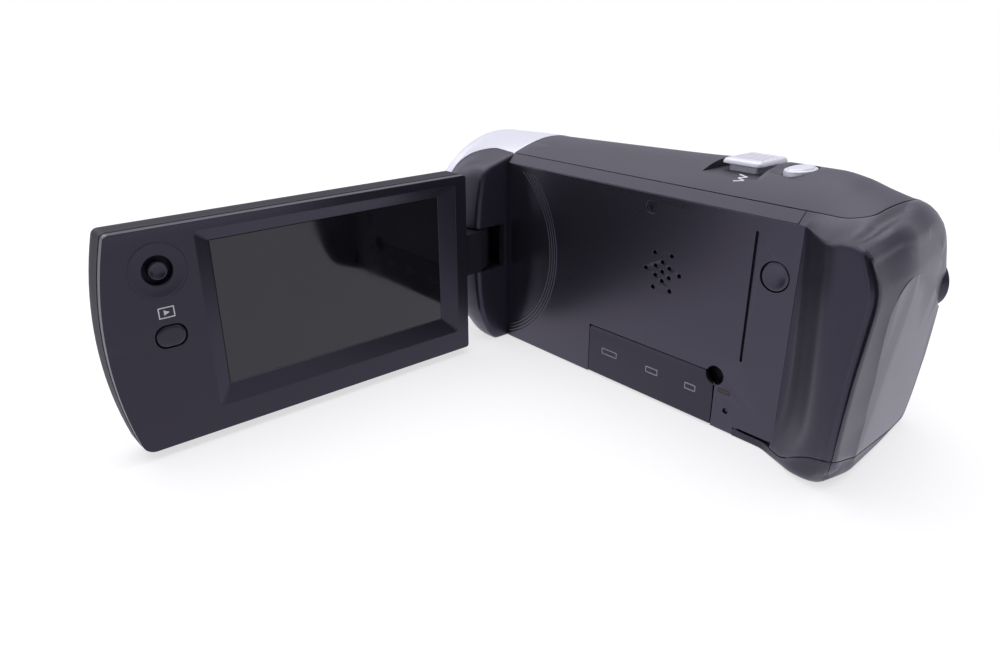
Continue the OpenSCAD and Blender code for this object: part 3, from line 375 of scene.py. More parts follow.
@dataclass(frozen=True)
class PrintedInk(Finish):
    """Pad-printed ink: an opaque matte film a few hundredths of a millimetre thick."""

    colour: str = "c8c9cc"

    def draw(self, tree: bpy.types.NodeTree, shader: bpy.types.Node) -> None:
        """Draws ink that thins a little where it spread."""
        place = add_node(tree, "ShaderNodeTexCoord")
        blot = add_node(tree, "ShaderNodeTexNoise",
                        {"Vector": (place, "Object"), "Scale": per_metre(0.5), "Detail": 2.0})
        colour = add_node(tree, "ShaderNodeMix",
                          {"Factor": (blot, "Fac"), 6: linear(self.colour), 7: linear("9fa0a4")},
                          data_type="RGBA")
        tree.links.new(colour.outputs[2], shader.inputs["Base Color"])
        shader.inputs["Roughness"].default_value = 0.6


class Dress(Enum):
    """Every finish on the camcorder, by the piece that wears it."""

    BODY = MouldedPlastic("abs_eroded_body", "dark_shell", "1c1b22", "27262e", 0.38, specular=0.5)
    COVER = MouldedPlastic("abs_eroded_top", "top_shell", "2a292e", "353439", 0.5)
    BAY = MouldedPlastic("abs_eroded_bay", "dark_shell", "131216", "1c1b20", 0.31, specular=0.85)
    CHEEK = MouldedPlastic("abs_eroded_bulge", "dark_shell", "1c1b21", "26252c", 0.42)
    PANEL = MouldedPlastic("abs_satin_panel", "panel_plastic", "141318", "1e1d23", 0.34, 0.18, 0.006)
    PANEL_BACK = MouldedPlastic("abs_satin_lid", "panel_plastic", "17161b", "1f1e24", 0.5, specular=0.12)
    KEY = MouldedPlastic("abs_moulded_keys", "dark_shell", "17161b", "212026", 0.34, 0.2, 0.008)
    INNER = MouldedPlastic("abs_moulded_inner", "inner_black", "121214", "1b1b1e", 0.6)
    CELL = MouldedPlastic("battery_sleeve", "battery_wrap", "34373c", "40444a", 0.45)
    CHIP = MouldedPlastic("epoxy_moulded_chip", "chip_black", "151517", "202022", 0.5)
    SILVER = SatinPaint("lacquer_silver", "silver_shell")
    GLOSS = PolishedPlastic("abs_polished_black", "gloss_black", "0e0e11", "17171b", 0.12)
    SCREEN = PolishedPlastic("acrylic_screen", "screen_gloss", "08080b", "0e0d12", 0.05, 0.58)
    LAMP = PolishedPlastic("acrylic_amber", "lamp_lens", "2b1d14", "3a281b", 0.15)
    STEEL = TurnedSteel("steel_turned", "pin_steel")
    SHEET = TurnedSteel("steel_pressed", "sheet_steel", "a4a6aa", "8e9095", 0.38)
    BRASS = TurnedSteel("brass_plated", "contact_brass", "b08c45", "96763a", 0.3)
    BOARD = Laminate("laminate_green", "circuit_board")
    LENS = CoatedGlass("glass_coated", "optical_glass")
    MESH = WovenNylon("cloth_mesh", "mesh_fabric", "0c0c0e", "1c1c20", 0.5)
    WEB = WovenNylon("nylon_webbing", "webbing")
    PAD = WovenNylon("cloth_spacer", "pad_fabric", "141417", "232328", 1.2)
    INK = PrintedInk("ink_white", "panel_plastic")
    INK_GREY = PrintedInk("ink_grey", "dark_shell", "6d6e73")


# --- Mesh helpers ---


@contextmanager
def editing(mesh: bpy.types.Mesh) -> Iterator[bmesh.types.BMesh]:
    """Opens a mesh for editing and writes the result back."""
    work = bmesh.new()
    work.from_mesh(mesh)
    yield work
    work.to_mesh(mesh)
    work.free()


def linked(name: str, data: bpy.types.ID) -> Piece:
    """Returns a new object of the scene that shows data."""
    made = bpy.data.objects.new(name, data)
    bpy.context.scene.collection.objects.link(made)
    return made


def mesh_object(name: str, points: Iterable[Point], faces: Iterable[Sequence[int]]) -> Piece:
    """Makes an object from points in millimetres and faces.

    Args:
        name: the object's name.
        points: corner positions.
        faces: corner numbers of each face.

    Returns:
        The linked object, with doubled points welded.
    """
    mesh = bpy.data.meshes.new(name)
    mesh.from_pydata([tuple(float(c) * MM for c in p) for p in points], [], [list(f) for f in faces])
    made = linked(name, mesh)
    with editing(mesh) as work:
        bmesh.ops.remove_doubles(work, verts=work.verts, dist=1e-6)
        bmesh.ops.dissolve_degenerate(work, edges=work.edges, dist=1e-7)
        bmesh.ops.recalc_face_normals(work, faces=work.faces)
    return made


def join(name: str, parts: Sequence[Piece]) -> Piece:
    """Joins several mesh objects into one that keeps all their materials.

    Args:
        name: the joined object's name.
        parts: the objects, which are used up.

    Returns:
        The joined object.
    """
    bpy.context.view_layer.update()
    work = bmesh.new()
    mesh = bpy.data.meshes.new(name)
    for part in parts:
        shift = []
        for material in part.data.materials:
            if material not in list(mesh.materials):
                mesh.materials.append(material)
            shift.append(list(mesh.materials).index(material))
        start = len(work.faces)
        work.from_mesh(part.data)
        work.faces.ensure_lookup_table()
        for face in work.faces[start:]:
            face.material_index = shift[face.material_index] if shift else 0
        bpy.data.objects.remove(part)
    work.to_mesh(mesh)
    work.free()
    return linked(name, mesh)


def shade(piece: Piece, angle: float = 32.0) -> Piece:
    """Shades a piece smooth, with edges sharper than angle kept crisp."""
    limit = math.radians(angle)
    with editing(piece.data) as work:
        for face in work.faces:
            face.smooth = True
        for edge in work.edges:
            edge.smooth = edge.calc_face_angle(math.pi) < limit
    return piece


def bake(piece: Piece) -> Piece:
    """Applies a piece's modifiers to its mesh."""
    bpy.context.view_layer.update()
    graph = bpy.context.evaluated_depsgraph_get()
    mesh = bpy.data.meshes.new_from_object(piece.evaluated_get(graph))
    piece.modifiers.clear()
    old = piece.data
    piece.data = mesh
    if old.users == 0 and isinstance(old, bpy.types.Mesh):
        bpy.data.meshes.remove(old)
    return piece


def soften(piece: Piece, width: float, angle: float = 35.0, segments: int = 2) -> Piece:
    """Rounds every edge sharper than angle by width millimetres."""
    bevel = piece.modifiers.new("edge", "BEVEL")
    bevel.width = width * MM
    bevel.segments = segments
    bevel.limit_method = "ANGLE"
    bevel.angle_limit = math.radians(angle)
    bevel.use_clamp_overlap = True
    bevel.harden_normals = False
    return shade(bake(piece), 40)


def thicken(piece: Piece, depth: float) -> Piece:
    """Gives an open skin a wall of depth millimetres on its inner side."""
    wall = piece.modifiers.new("wall", "SOLIDIFY")
    wall.thickness = depth * MM
    wall.offset = -1.0
    wall.use_even_offset = False
    wall.use_quality_normals = True
    return bake(piece)


def plate(
    name: str, outline: Loop, holes: Sequence[Loop], depth: float, edge: float, place: Placer
) -> Piece:
    """Makes a flat plate with holes and rounded rims.

    Args:
        name: the object's name.
        outline: the outer loop in the plate's plane.
        holes: the loops that are cut out.
        depth: the plate's thickness.
        edge: the radius of its rims.
        place: turns plane coordinates and depth into the row frame.

    Returns:
        The plate, its front face at depth 0.
    """
    curve = bpy.data.curves.new(name, "CURVE")
    curve.dimensions = "2D"
    curve.fill_mode = "BOTH"
    curve.extrude = depth / 2 - edge
    curve.bevel_depth = edge
    curve.bevel_resolution = 2
    for loop in [outline, *holes]:
        spline = curve.splines.new("POLY")
        spline.points.add(len(loop) - 1)
        for point, (a, b) in zip(spline.points, loop):
            point.co = (a, b, 0.0, 1.0)
        spline.use_cyclic_u = True
    curve.offset = -edge
    raw = linked(name + "_raw", curve)
    bpy.context.view_layer.update()
    mesh = bpy.data.meshes.new_from_object(raw.evaluated_get(bpy.context.evaluated_depsgraph_get()))
    bpy.data.objects.remove(raw)
    points = [place(v.co.x, v.co.y, v.co.z + depth / 2) for v in mesh.vertices]
    faces = [tuple(p.vertices) for p in mesh.polygons]
    bpy.data.meshes.remove(mesh)
    return shade(mesh_object(name, points, faces))


def lathe(name: str, profile: Sequence[Pair], turns: int, place: Placer) -> Piece:
    """Turns a profile of (radius, height) pairs round an axis.

    Args:
        name: the object's name.
        profile: the pairs from one end to the other.
        turns: how many facets go round.
        place: turns x, y and height into the row frame.

    Returns:
        The turned object.
    """
    points: list[Point] = []
    for radius, height in profile:
        for k in range(turns):
            a = math.tau * k / turns
            points.append(place(radius * math.cos(a), radius * math.sin(a), height))
    return mesh_object(name, points, grid_faces(len(profile), turns, True))


def rounded_rect(x0: float, y0: float, x1: float, y1: float, r: float, n: int = 5) -> Loop:
    """Returns a rectangle's loop with rounded corners."""
    loop: Loop = []
    for cx, cy, a0 in ((x1 - r, y0 + r, -90), (x1 - r, y1 - r, 0), (x0 + r, y1 - r, 90),
                       (x0 + r, y0 + r, 180)):
        for k in range(n + 1):
            a = math.radians(a0 + 90 * k / n)
            loop.append((cx + r * math.cos(a), cy + r * math.sin(a)))
    return loop


def ring(cx: float, cy: float, r: float, n: int = 48, squeeze: float = 1.0) -> Loop:
    """Returns a circle's loop, or an oval's with squeeze below 1."""
    return [(cx + r * math.cos(math.tau * k / n), cy + r * squeeze * math.sin(math.tau * k / n))
            for k in range(n)]


def grid_faces(rows: int, cols: int, closed: bool) -> list[tuple[int, int, int, int]]:
    """Returns the quads of a grid of points stored row by row."""
    faces = []
    for j in range(rows - 1):
        for k in range(cols if closed else cols - 1):
            n = (k + 1) % cols
            faces.append((j * cols + k, j * cols + n, (j + 1) * cols + n, (j + 1) * cols + k))
    return faces


def capped(rows: int, cols: int) -> list[Sequence[int]]:
    """Returns the quads of a grid that closes on itself, and a cap for each end."""
    end = rows * cols
    return [*grid_faces(rows, cols, True), range(cols), range(end - 1, end - cols - 1, -1)]


def clip(piece: Piece, at: Point, normal: Point, keep_outer: bool) -> None:
    """Cuts a skin by a plane and drops one side.

    Args:
        piece: the skin.
        at: a point on the plane, in millimetres.
        normal: the plane's normal.
        keep_outer: True keeps the side that the normal points to.
    """
    with editing(piece.data) as work:
        bmesh.ops.bisect_plane(
            work, geom=work.verts[:] + work.edges[:] + work.faces[:], dist=1e-7,
            plane_co=Vector(at) * MM, plane_no=Vector(normal),
            clear_inner=keep_outer, clear_outer=not keep_outer)


def duplicate(piece: Piece, name: str) -> Piece:
    """Returns a linked copy of a piece with a mesh of its own."""
    return linked(name, piece.data.copy())


def split(
    skin: Piece, name: str, planes: Sequence[tuple[Point, Point]]
) -> tuple[Piece, Piece]:
    """Splits a skin into what lies inside several planes and the rest.

    Args:
        skin: the skin, which is used up.
        name: the start of the two names.
        planes: (point, outward normal) pairs.

    Returns:
        The part inside all planes, and everything else.
    """
    rest = []
    inside = duplicate(skin, name + "_inside")
    bpy.data.objects.remove(skin)
    for number, (at, normal) in enumerate(planes):
        outer = duplicate(inside, f"{name}_{number}")
        clip(outer, at, normal, True)
        clip(inside, at, normal, False)
        rest.append(outer)
    outside = join(name + "_outside", rest)
    with editing(outside.data) as work:
        bmesh.ops.remove_doubles(work, verts=work.verts, dist=WELD_M)
    return inside, outside


# --- The workshop: hands pieces to the frame ---


@dataclass
class Workshop:
    """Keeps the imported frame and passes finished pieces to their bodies."""

    frame: dict
    body_of_node: dict[str, str] = field(default_factory=dict)

    def __post_init__(self) -> None:
        """Reads which body carries each node."""
        for body, nodes in self.frame["record"]["behaviour"]["bodies"].items():
            for node in nodes:
                self.body_of_node[node] = body

    def dress(self, piece: Piece, dress: Dress) -> Piece:
        """Gives a piece one finish."""
        piece.data.materials.clear()
        piece.data.materials.append(dress.value.material())
        return piece

    def even(self, piece: Piece) -> None:
        """Lets a piece's large faces set the shading of its narrow rims."""
        level = piece.modifiers.new("even", "WEIGHTED_NORMAL")
        level.mode = "FACE_AREA"
        level.weight = 50
        level.keep_sharp = True

    def deliver(self, piece: Piece, dress: Dress, *nodes: str) -> Piece:
        """Registers a piece that stands for CAD nodes.

        Args:
            piece: the finished piece.
            dress: the finish that it wears if it has no material yet.
            nodes: the CAD nodes that it replaces.

        Returns:
            The same piece.
        """
        if not piece.data.materials:
            self.dress(piece, dress)
        self.even(piece)
        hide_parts(*nodes)
        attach(piece, self.body_of_node[nodes[0]])
        log.info("piece %s stands for %s", piece.name, ", ".join(nodes))
        return piece

    def attach(self, piece: Piece, dress: Dress, node: str) -> Piece:
        """Registers an extra piece that rides with a node's body."""
        if not piece.data.materials:
            self.dress(piece, dress)
        self.even(piece)
        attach(piece, self.body_of_node[node])
        log.info("piece %s rides with %s", piece.name, node)
        return piece

    def machined(self, node: str, dress: Dress, width: float = 0.15) -> Piece:
        """Replaces a CAD node by a copy whose edges are rounded as moulded or pressed ones are.

        Args:
            node: the CAD node.
            dress: its finish.
            width: the radius of the rounding, in millimetres.

        Returns:
            The rounded piece.
        """
        source = self.frame["nodes"][node]
        piece = duplicate(source, node + "_made")
        piece.data.materials.clear()
        with editing(piece.data) as work:
            bmesh.ops.remove_doubles(work, verts=work.verts, dist=WELD_M)
            bmesh.ops.dissolve_limit(work, angle_limit=math.radians(1.0), verts=work.verts,
                                     edges=work.edges)
        if width > 0:
            soften(piece, width)
        else:
            shade(piece)
        return self.deliver(piece, dress, node)


# --- Curves shared by the mouldings ---


def smooth_line(xs: Sequence[float], ys: Sequence[float]) -> Callable[[float], float]:
    """Returns a curve through points that never overshoots between them.

    Args:
        xs: rising places.
        ys: the value at each place.

    Returns:
        A function of the place, flat beyond both ends.
    """
    x = np.array(xs, float)
    y = np.array(ys, float)
    step = np.diff(x)
    slope = np.diff(y) / step
    tangent = np.zeros(len(x))
    for k in range(1, len(x) - 1):
        if slope[k - 1] * slope[k] > 0:
            w1, w2 = 2 * step[k] + step[k - 1], step[k] + 2 * step[k - 1]
            tangent[k] = (w1 + w2) / (w1 / slope[k - 1] + w2 / slope[k])
    tangent[0], tangent[-1] = slope[0], slope[-1]

    def value(at: float) -> float:
        """Returns the curve's value."""
        at = min(max(float(at), x[0]), x[-1])
        k = min(int(np.searchsorted(x, at, side="right")) - 1, len(step) - 1)
        t = (at - x[k]) / step[k]
        return float(
            (1 + 2 * t) * (1 - t) ** 2 * y[k] + t * (1 - t) ** 2 * step[k] * tangent[k]
            + t * t * (3 - 2 * t) * y[k + 1] + t * t * (t - 1) * step[k] * tangent[k + 1]
        )

    return value


def bell(at: float, centre: float, width: float) -> float:
    """Returns a bell curve that is 1 at its centre."""
    return math.exp(-(((at - centre) / width) ** 2))


@dataclass
class BodyForm:
    """The outer form that the top cover, the right shell and the back moulding share."""

    bay_x: float = -15.6
    bay_h: float = 51.7
    seam_x: float = -13.1
    seam_z: float = 54.1
    crown_x: float = 2.0
    shoulder_z: float = 34.0
    right_x: float = 25.0
    front_y: float = 42.45
    facet_centre: Pair = (3.0, 20.0)

    def __post_init__(self) -> None:
        """Prepares the curves along and across the body."""
        self.crest = smooth_line(
            [-66, -62.5, -56, -51, -46, -41, -30, -8, 8, 42.5],
            [54.0, 54.6, 56.1, 57.4, 58.9, 59.6, 59.6, 58.6, 58.1, 57.1],
        )
        self.swell = smooth_line(
            [-59, -57.5, -56.5, -55.5, -54.5, -53.3, -51.8, -49.3, -47.1, -45.9, -45.0],
            [1, 0.992, 0.975, 0.94, 0.875, 0.76, 0.60, 0.35, 0.12, 0.025, 0],
        )
        self.shoulder = smooth_line([0, 2, 5, 9.5, 14, 20, 27, 34, 41.5, 47, 52],
                                    [2.6, 2.0, 0.6, -1.0, -1.8, -2.0, -1.8, -1.5, -1.0, -0.7, 0])
        self.bulge = smooth_line(
            [0, 0.7, 1.8, 4, 8, 14, 20, 32, 44, 53],
            [-19.3, -20.3, -21.0, -21.7, -22.6, -23.9, -24.8, -25.5, -25.6, -25.4],
        )
        self.ledge = smooth_line(
            [-66, -64.6, -63.8, -62.8, -61.6, -60.2, -58.4, -56, -53, -44],
            [48.4, 49.4, 50.3, 51.3, 52.2, 52.7, 52.7, 52.4, 51.9, 51.7],
        )
        self.seam_rear = smooth_line([-26, -22, -17, -12, -8, -1.5, 6, 14, 26],
                                     [8.2, 7.9, 6.6, 5.4, 4.8, 3.6, 2.4, 1.6, 1.4])
        self.seam_side = smooth_line([-66, -63, -60, -58, -54.6, -51.6, -49.5, -47, -44, -30],
                                     [1, 1, 0.975, 0.92, 0.70, 0.44, 0.31, 0.29, 0.31, 0.31])
        edge = [(-11.3, 0), (-11.6, 6.5), (-12.4, 14.1), (-14.7, 24.8), (-17.2, 32.6), (-18.6, 38.0),
                (-17.8, 41.8), (-15.2, 44.2), (-11.2, 45.2), (-5.6, 44.6), (1.4, 42.4), (9.0, 38.3),
                (14.6, 33.4), (19.0, 26.9), (20.8, 20.6), (21.3, 13.4), (21.5, 7.7), (21.7, 0),
                (16, -14), (3, -18), (-9, -14)]
        cx, cz = self.facet_centre
        polar = sorted((math.atan2(z - cz, x - cx) % math.tau, math.hypot(x - cx, z - cz))
                       for x, z in edge)
        angles = np.linspace(0, math.tau, 360, endpoint=False)
        reach = np.interp(angles, [a for a, _ in polar], [r for _, r in polar], period=math.tau)
        for _ in range(6):
            reach = (np.roll(reach, 1) + np.roll(reach, -1) + 2 * reach + np.roll(reach, 2)
                     + np.roll(reach, -2)) / 6
        self.facet_angles, self.facet_reach = angles, reach
        self.stations: list[tuple[str, float, float]] = []
        for k in range(26):
            self.stations.append(("crown", k / 26, 0))
        for k in range(40):
            self.stations.append(("right", math.pi / 2 * (1 - k / 40), 0))
        for x, z in ((25, 34), (25, 28), (25, 22), (25, 16), (24.97, 12), (24.85, 9), (24.5, 6),
                     (24.0, 3.8), (23.3, 1.9), (22.6, 0.8), (21.8, 0.15), (21.0, 0)):
            self.stations.append(("foot", x, z))
        for k in range(1, 24):
            self.stations.append(("base", k / 24, 0))
        sides = [0.09 * k for k in range(1, 11)] + [0.95, 0.985, 1.0, 1.004, 1.009, 1.016, 1.027,
                 1.045, 1.07, 1.1] + [1.14 + 0.04 * k for k in range(18)] + [1.85, 1.88, 1.905,
                 1.93, 1.95, 1.965, 1.98, 1.99, 2.0]
        for v in reversed(sides):
            self.stations.append(("left", v, 0))

    def left(self, v: float, y: float) -> Pair:
        """Returns a point of the left side: 0 is the seam, 1 the bay's top edge, 2 the base."""
        top = self.ledge(y)
        if v <= 1:
            mid = (self.seam_x + (self.bay_x - self.seam_x) * v,
                   self.seam_z + (self.bay_h - self.seam_z) * v)
            groove = 0.9 * bell(y, -59.0, 1.5) * (1 - v ** 3)
            rim = 0.35 * bell(y, -62.0, 1.2) * (1 - v ** 2)
            out = (self.seam_x + (-24.75 - self.seam_x) * v,
                   self.seam_z + (top + 0.14 - self.seam_z) * v - 0.4 * math.sin(math.pi * v)
                   - groove + rim)
        else:
            mid = (self.bay_x, self.bay_h * (2 - v))
            z = top * (2 - v)
            out = (self.bulge(z) + 0.62 * math.exp(-(top - z) / 0.3), z)
        w = self.swell(y - self.shoulder(mid[1]))
        return mid[0] + (out[0] - mid[0]) * w, mid[1] + (out[1] - mid[1]) * w

    def at(self, k: int, y: float) -> Pair:
        """Returns one point of the section at a place along the body."""
        kind, a, b = self.stations[k]
        if kind == "left":
            return self.left(a, y)
        if kind == "foot":
            return a, b
        if kind == "base":
            return 21.0 + (self.left(2.0, y)[0] - 21.0) * a, 0.0
        top = self.crest(y)
        valley = 0.9 * bell(y, -58.8, 1.7)
        rim = 0.35 * bell(y, -62.0, 1.2)
        if kind == "crown":
            fade = 1 - 0.7 * a
            x = self.seam_x + (self.crown_x - self.seam_x) * a
            return x, top - (top - self.seam_z) * (1 - a) ** 2 - (valley - rim) * fade
        fade = 0.3 * max(0.0, math.sin(a)) ** 6
        return (self.crown_x + (self.right_x - self.crown_x) * math.cos(a),
                self.shoulder_z + (top - self.shoulder_z) * math.sin(a) - (valley - rim) * fade)

    def outline(self, y: float) -> list[Pair]:
        """Returns the section at a place along the body, from the seam over the crest, round."""
        return [self.at(k, y) for k in range(len(self.stations))]

    def facet_y(self, x: float, z: float) -> float:
        """Where the plane of the back's flat facet lies."""
        return -61.1 - 0.088 * (z - 4) + 0.11 * x

    def facet_gap(self, x: float, z: float) -> float:
        """How far a point of the back lies outside the facet, negative inside."""
        cx, cz = self.facet_centre
        angle = math.atan2(z - cz, x - cx) % math.tau
        reach = float(np.interp(angle, self.facet_angles, self.facet_reach, period=math.tau))
        return math.hypot(x - cx, z - cz) - reach

    def wall_y(self, x: float, z: float) -> float:
        """Where the back wall lies: it falls away from the facet's plane outside the facet."""
        gap = self.facet_gap(x, z)
        rise = 1.6 * (1 - math.exp(-0.115 * gap)) if gap > 0 else 0.0
        aside = min(max((-7 - x) / 14, 0.0), 1.0)
        lean = 0.03 * max(0.0, z - 41.5) ** 2 * aside * aside * (3 - 2 * aside)
        return self.facet_y(x, min(z, 46)) + rise + lean + max(0.0, z - 46) * 0.12

    def rounding(self, nx: float, nz: float, x: float, z: float) -> float:
        """Returns the radius between the sides and the back wall."""
        left, right = max(0.0, -nx) ** 2, max(0.0, nx) ** 2
        up, down = max(0.0, nz) ** 2, max(0.0, -nz) ** 2
        high = min(max((z - 32) / 14, 0.0), 1.0)
        low = min(max((x + 12) / 17, 0.0), 1.0)
        foot = 3.0 * max(0.0, 1 - z / 9)
        corner = 2.8 * math.exp(-(((x + 20) / 3.6) ** 2) - (z / 3.2) ** 2)
        return (corner + (2.1 + foot) * left + (3.2 + 6.3 * high * high * (3 - 2 * high)) * right
                + (3.0 + 0.2 * max(0.0, x + 13)) * up + (3.6 - 1.9 * low) * down)

    def drawn_in(self, edge: np.ndarray, normal: np.ndarray, radius: np.ndarray) -> np.ndarray:
        """Draws a section in by a radius at each point, without folds at its sharp corners."""
        centre = np.array(self.facet_centre)
        rel = edge - normal * radius[:, None] - centre
        after = np.roll(rel, -1, 0)
        angles = np.linspace(-math.pi, math.pi, 1440, endpoint=False)
        aim = np.stack([np.cos(angles), np.sin(angles)], 1)
        side = np.outer(aim[:, 0], rel[:, 1]) - np.outer(aim[:, 1], rel[:, 0])
        other = np.roll(side, -1, 1)
        area = rel[:, 0] * after[:, 1] - rel[:, 1] * after[:, 0]
        reach = np.abs(area[None, :] / np.where(np.abs(other - side) < 1e-9, 1e-9, other - side))
        ahead = aim @ ((rel + after) / 2).T > 0
        reach = np.where((side * other <= 0) & ahead, reach, 1e3).min(1)
        turn = np.unwrap(np.arctan2(rel[:, 1], rel[:, 0]))
        sign = 1.0 if turn[-1] > turn[0] else -1.0
        turn = sign * turn
        turn = (np.maximum.accumulate(turn) + np.minimum.accumulate(turn[::-1])[::-1]) / 2
        for _ in range(4):
            wrapped = np.concatenate([[turn[-1] - math.tau], turn, [turn[0] + math.tau]])
            turn = (wrapped[:-2] + 2 * wrapped[1:-1] + wrapped[2:]) / 4
        turn = sign * turn
        far = np.interp(turn, angles, reach, period=math.tau)
        return centre + np.stack([np.cos(turn), np.sin(turn)], 1) * far[:, None]

    def seam_height(self, x: float, y: float) -> float:
        """Returns the height of the seam over the battery cover."""
        if y > -36.2:
            return 2.6
        right = min(max((x - 12) / 6, 0.0), 1.0) * min(max((y + 52) / 3, 0.0), 1.0)
        return max(self.seam_rear(x) * self.seam_side(y), 1.45 + 1.15 * right)

    def skin(self) -> Piece:
        """Builds the whole form as one open-fronted skin with a crisp flat facet at the back."""
        plain = [42.45, 38, 32, 26, 20, 14, 8, 2, -4, -10, -16, -22, -27, -31, -35, -38, -40, -41.5,
                 -43, -44]
        split_rows = 46
        count = len(self.stations)
        final = np.array(self.outline(-61.5))
        ahead = np.roll(final, -1, 0) - np.roll(final, 1, 0)
        normal = np.stack([-ahead[:, 1], ahead[:, 0]], 1)
        normal /= np.linalg.norm(normal, axis=1)[:, None] + 1e-9
        if np.sum((final - final.mean(0)) * normal) < 0:
            normal = -normal
        for _ in range(4):
            normal = (np.roll(normal, 1, 0) + 2 * normal + np.roll(normal, -1, 0)) / 4
            normal /= np.linalg.norm(normal, axis=1)[:, None]
        radius = np.array([self.rounding(n[0], n[1], p[0], p[1]) for p, n in zip(final, normal)])
        for _ in range(3):
            radius = (np.roll(radius, 1) + 2 * radius + np.roll(radius, -1)) / 4
        edge = final.copy()
        start = np.full(count, -61.0)
        for _ in range(5):
            inner = self.drawn_in(edge, normal, radius)
            start = np.array([self.wall_y(x, z) for x, z in inner]) + radius
            edge = np.array([self.at(k, y) for k, y in enumerate(start)])
        points: list[Point] = []
        for y in plain:
            points += [(x, y, z) for x, z in self.outline(y)]
        for j in range(1, split_rows + 1):
            for k in range(count):
                y = plain[-1] + (start[k] - plain[-1]) * j / split_rows
                x, z = self.at(k, y)
                points.append((x, y, z))
        inner = self.drawn_in(edge, normal, radius)
        notch = []
        for n, p in zip(normal, final):
            side = min(max((-n[0] - 0.55) / 0.3, 0.0), 1.0)
            tall = min(max((p[1] - 4) / 34, 0.0), 1.0)
            notch.append((side * (0.15 + 0.65 * tall), 0.12 + 0.3 * tall if side else 0.4))
        turns = [(0, 0.13, 0), (0, 0.24, 0), (-0.5, 0, 0), (-0.46, 0, 1), (-0.2, 0, 1), (0.2, 0, 1),
                 (0.46, 0, 1), (0.5, 0, 0), (0, 0.77, 0), (0, 0.88, 0), (0, 1, 0)]
        for mid, fixed, sink in turns:
            for k in range(count):
                deep, wide = notch[k]
                t = math.pi / 2 * (fixed or 0.5 + mid * wide)
                n = normal[k]
                bite = deep * sink
                p = edge[k] + (inner[k] - edge[k]) * (1 - math.cos(t)) - n * bite * math.cos(t)
                points.append((p[0], start[k] - radius[k] * math.sin(t) + bite * math.sin(t), p[1]))
        centre = np.array(self.facet_centre)
        for u in (0.93, 0.84, 0.74, 0.63, 0.52, 0.41, 0.30, 0.20, 0.12, 0.05, 0.012, 0, -0.01):
            for k in range(count):
                reach = float(np.linalg.norm(inner[k] - centre))
                gap = self.facet_gap(*inner[k])
                share = min((reach - gap) / reach, 1.0)
                share = share + (1 - share) * u if u > 0 else share * (1 + u)
                p = centre + (inner[k] - centre) * share
                y = self.wall_y(p[0], p[1]) if u > 0 else self.facet_y(p[0], p[1])
                points.append((p[0], y, p[1]))
        end = len(points)
        faces = [*grid_faces(end // count, count, True), range(end - count, end)]
        made = mesh_object("body_skin", points, faces)
        weld(made)
        return made


def curtain(
    skin: Piece, name: str, along: int, across: int, line: Sequence[Pair]
) -> tuple[Piece, Piece]:
    """Splits a skin by a curtain that follows a bent line.

    Args:
        skin: the skin, which is used up.
        name: the start of the two names.
        along: the axis number that the line runs along.
        across: the axis number that the line bends in.
        line: (place along, place across) pairs, rising along.

    Returns:
        The part below the line in the across direction, and the part above it.
    """
    low, high = [], []
    rest = duplicate(skin, name + "_rest")
    bpy.data.objects.remove(skin)
    for number in range(len(line) - 1):
        (a0, c0), (a1, c1) = line[number], line[number + 1]
        chunk = duplicate(rest, f"{name}_chunk{number}")
        if number < len(line) - 2:
            at, normal = [0.0] * 3, [0.0] * 3
            at[along], normal[along] = a1, 1.0
            clip(chunk, at, normal, False)
            clip(rest, at, normal, True)
        at, normal = [0.0] * 3, [0.0] * 3
        at[along], at[across] = a0, c0
        normal[along], normal[across] = -(c1 - c0), a1 - a0
        above = duplicate(chunk, f"{name}_above{number}")
        clip(above, at, normal, True)
        clip(chunk, at, normal, False)
        low.append(chunk)
        high.append(above)
    bpy.data.objects.remove(rest)
    out = []
    for parts, end in ((low, "_low"), (high, "_high")):
        whole = join(name + end, parts)
        weld(whole)
        out.append(whole)
    return out[0], out[1]


def weld(piece: Piece) -> None:
    """Welds doubled points and drops what has no area."""
    with editing(piece.data) as work:
        bmesh.ops.remove_doubles(work, verts=work.verts, dist=WELD_M)
        bmesh.ops.dissolve_degenerate(work, edges=work.edges, dist=WELD_M / 2)
        loose = [v for v in work.verts if not v.link_faces]
        bmesh.ops.delete(work, geom=loose, context="VERTS")


def cut(piece: Piece, cutter: Piece) -> None:
    """Takes a closed cutter's volume out of a closed piece, and uses the cutter up."""
    change = piece.modifiers.new("cut", "BOOLEAN")
    change.operation = "DIFFERENCE"
    change.solver = "EXACT"
    change.object = cutter
    bake(piece)
    bpy.data.objects.remove(cutter)


def box_cutter(lo: Point, hi: Point, r: float = 0.0, up: int = 2) -> Piece:
    """Makes a closed box whose edges along one axis are rounded.

    Args:
        lo: its lowest corner.
        hi: its highest corner.
        r: the radius of the four edges.
        up: the axis number of those edges.

    Returns:
        The box.
    """
    a, b = [k for k in range(3) if k != up]
    loop = rounded_rect(lo[a], lo[b], hi[a], hi[b], max(r, 0.01), 5 if r else 0)
    points = []
    for level in (lo[up], hi[up]):
        for p in loop:
            point = [0.0] * 3
            point[a], point[b], point[up] = p[0], p[1], level
            points.append(point)
    return mesh_object("cutter", points, capped(2, len(loop)))


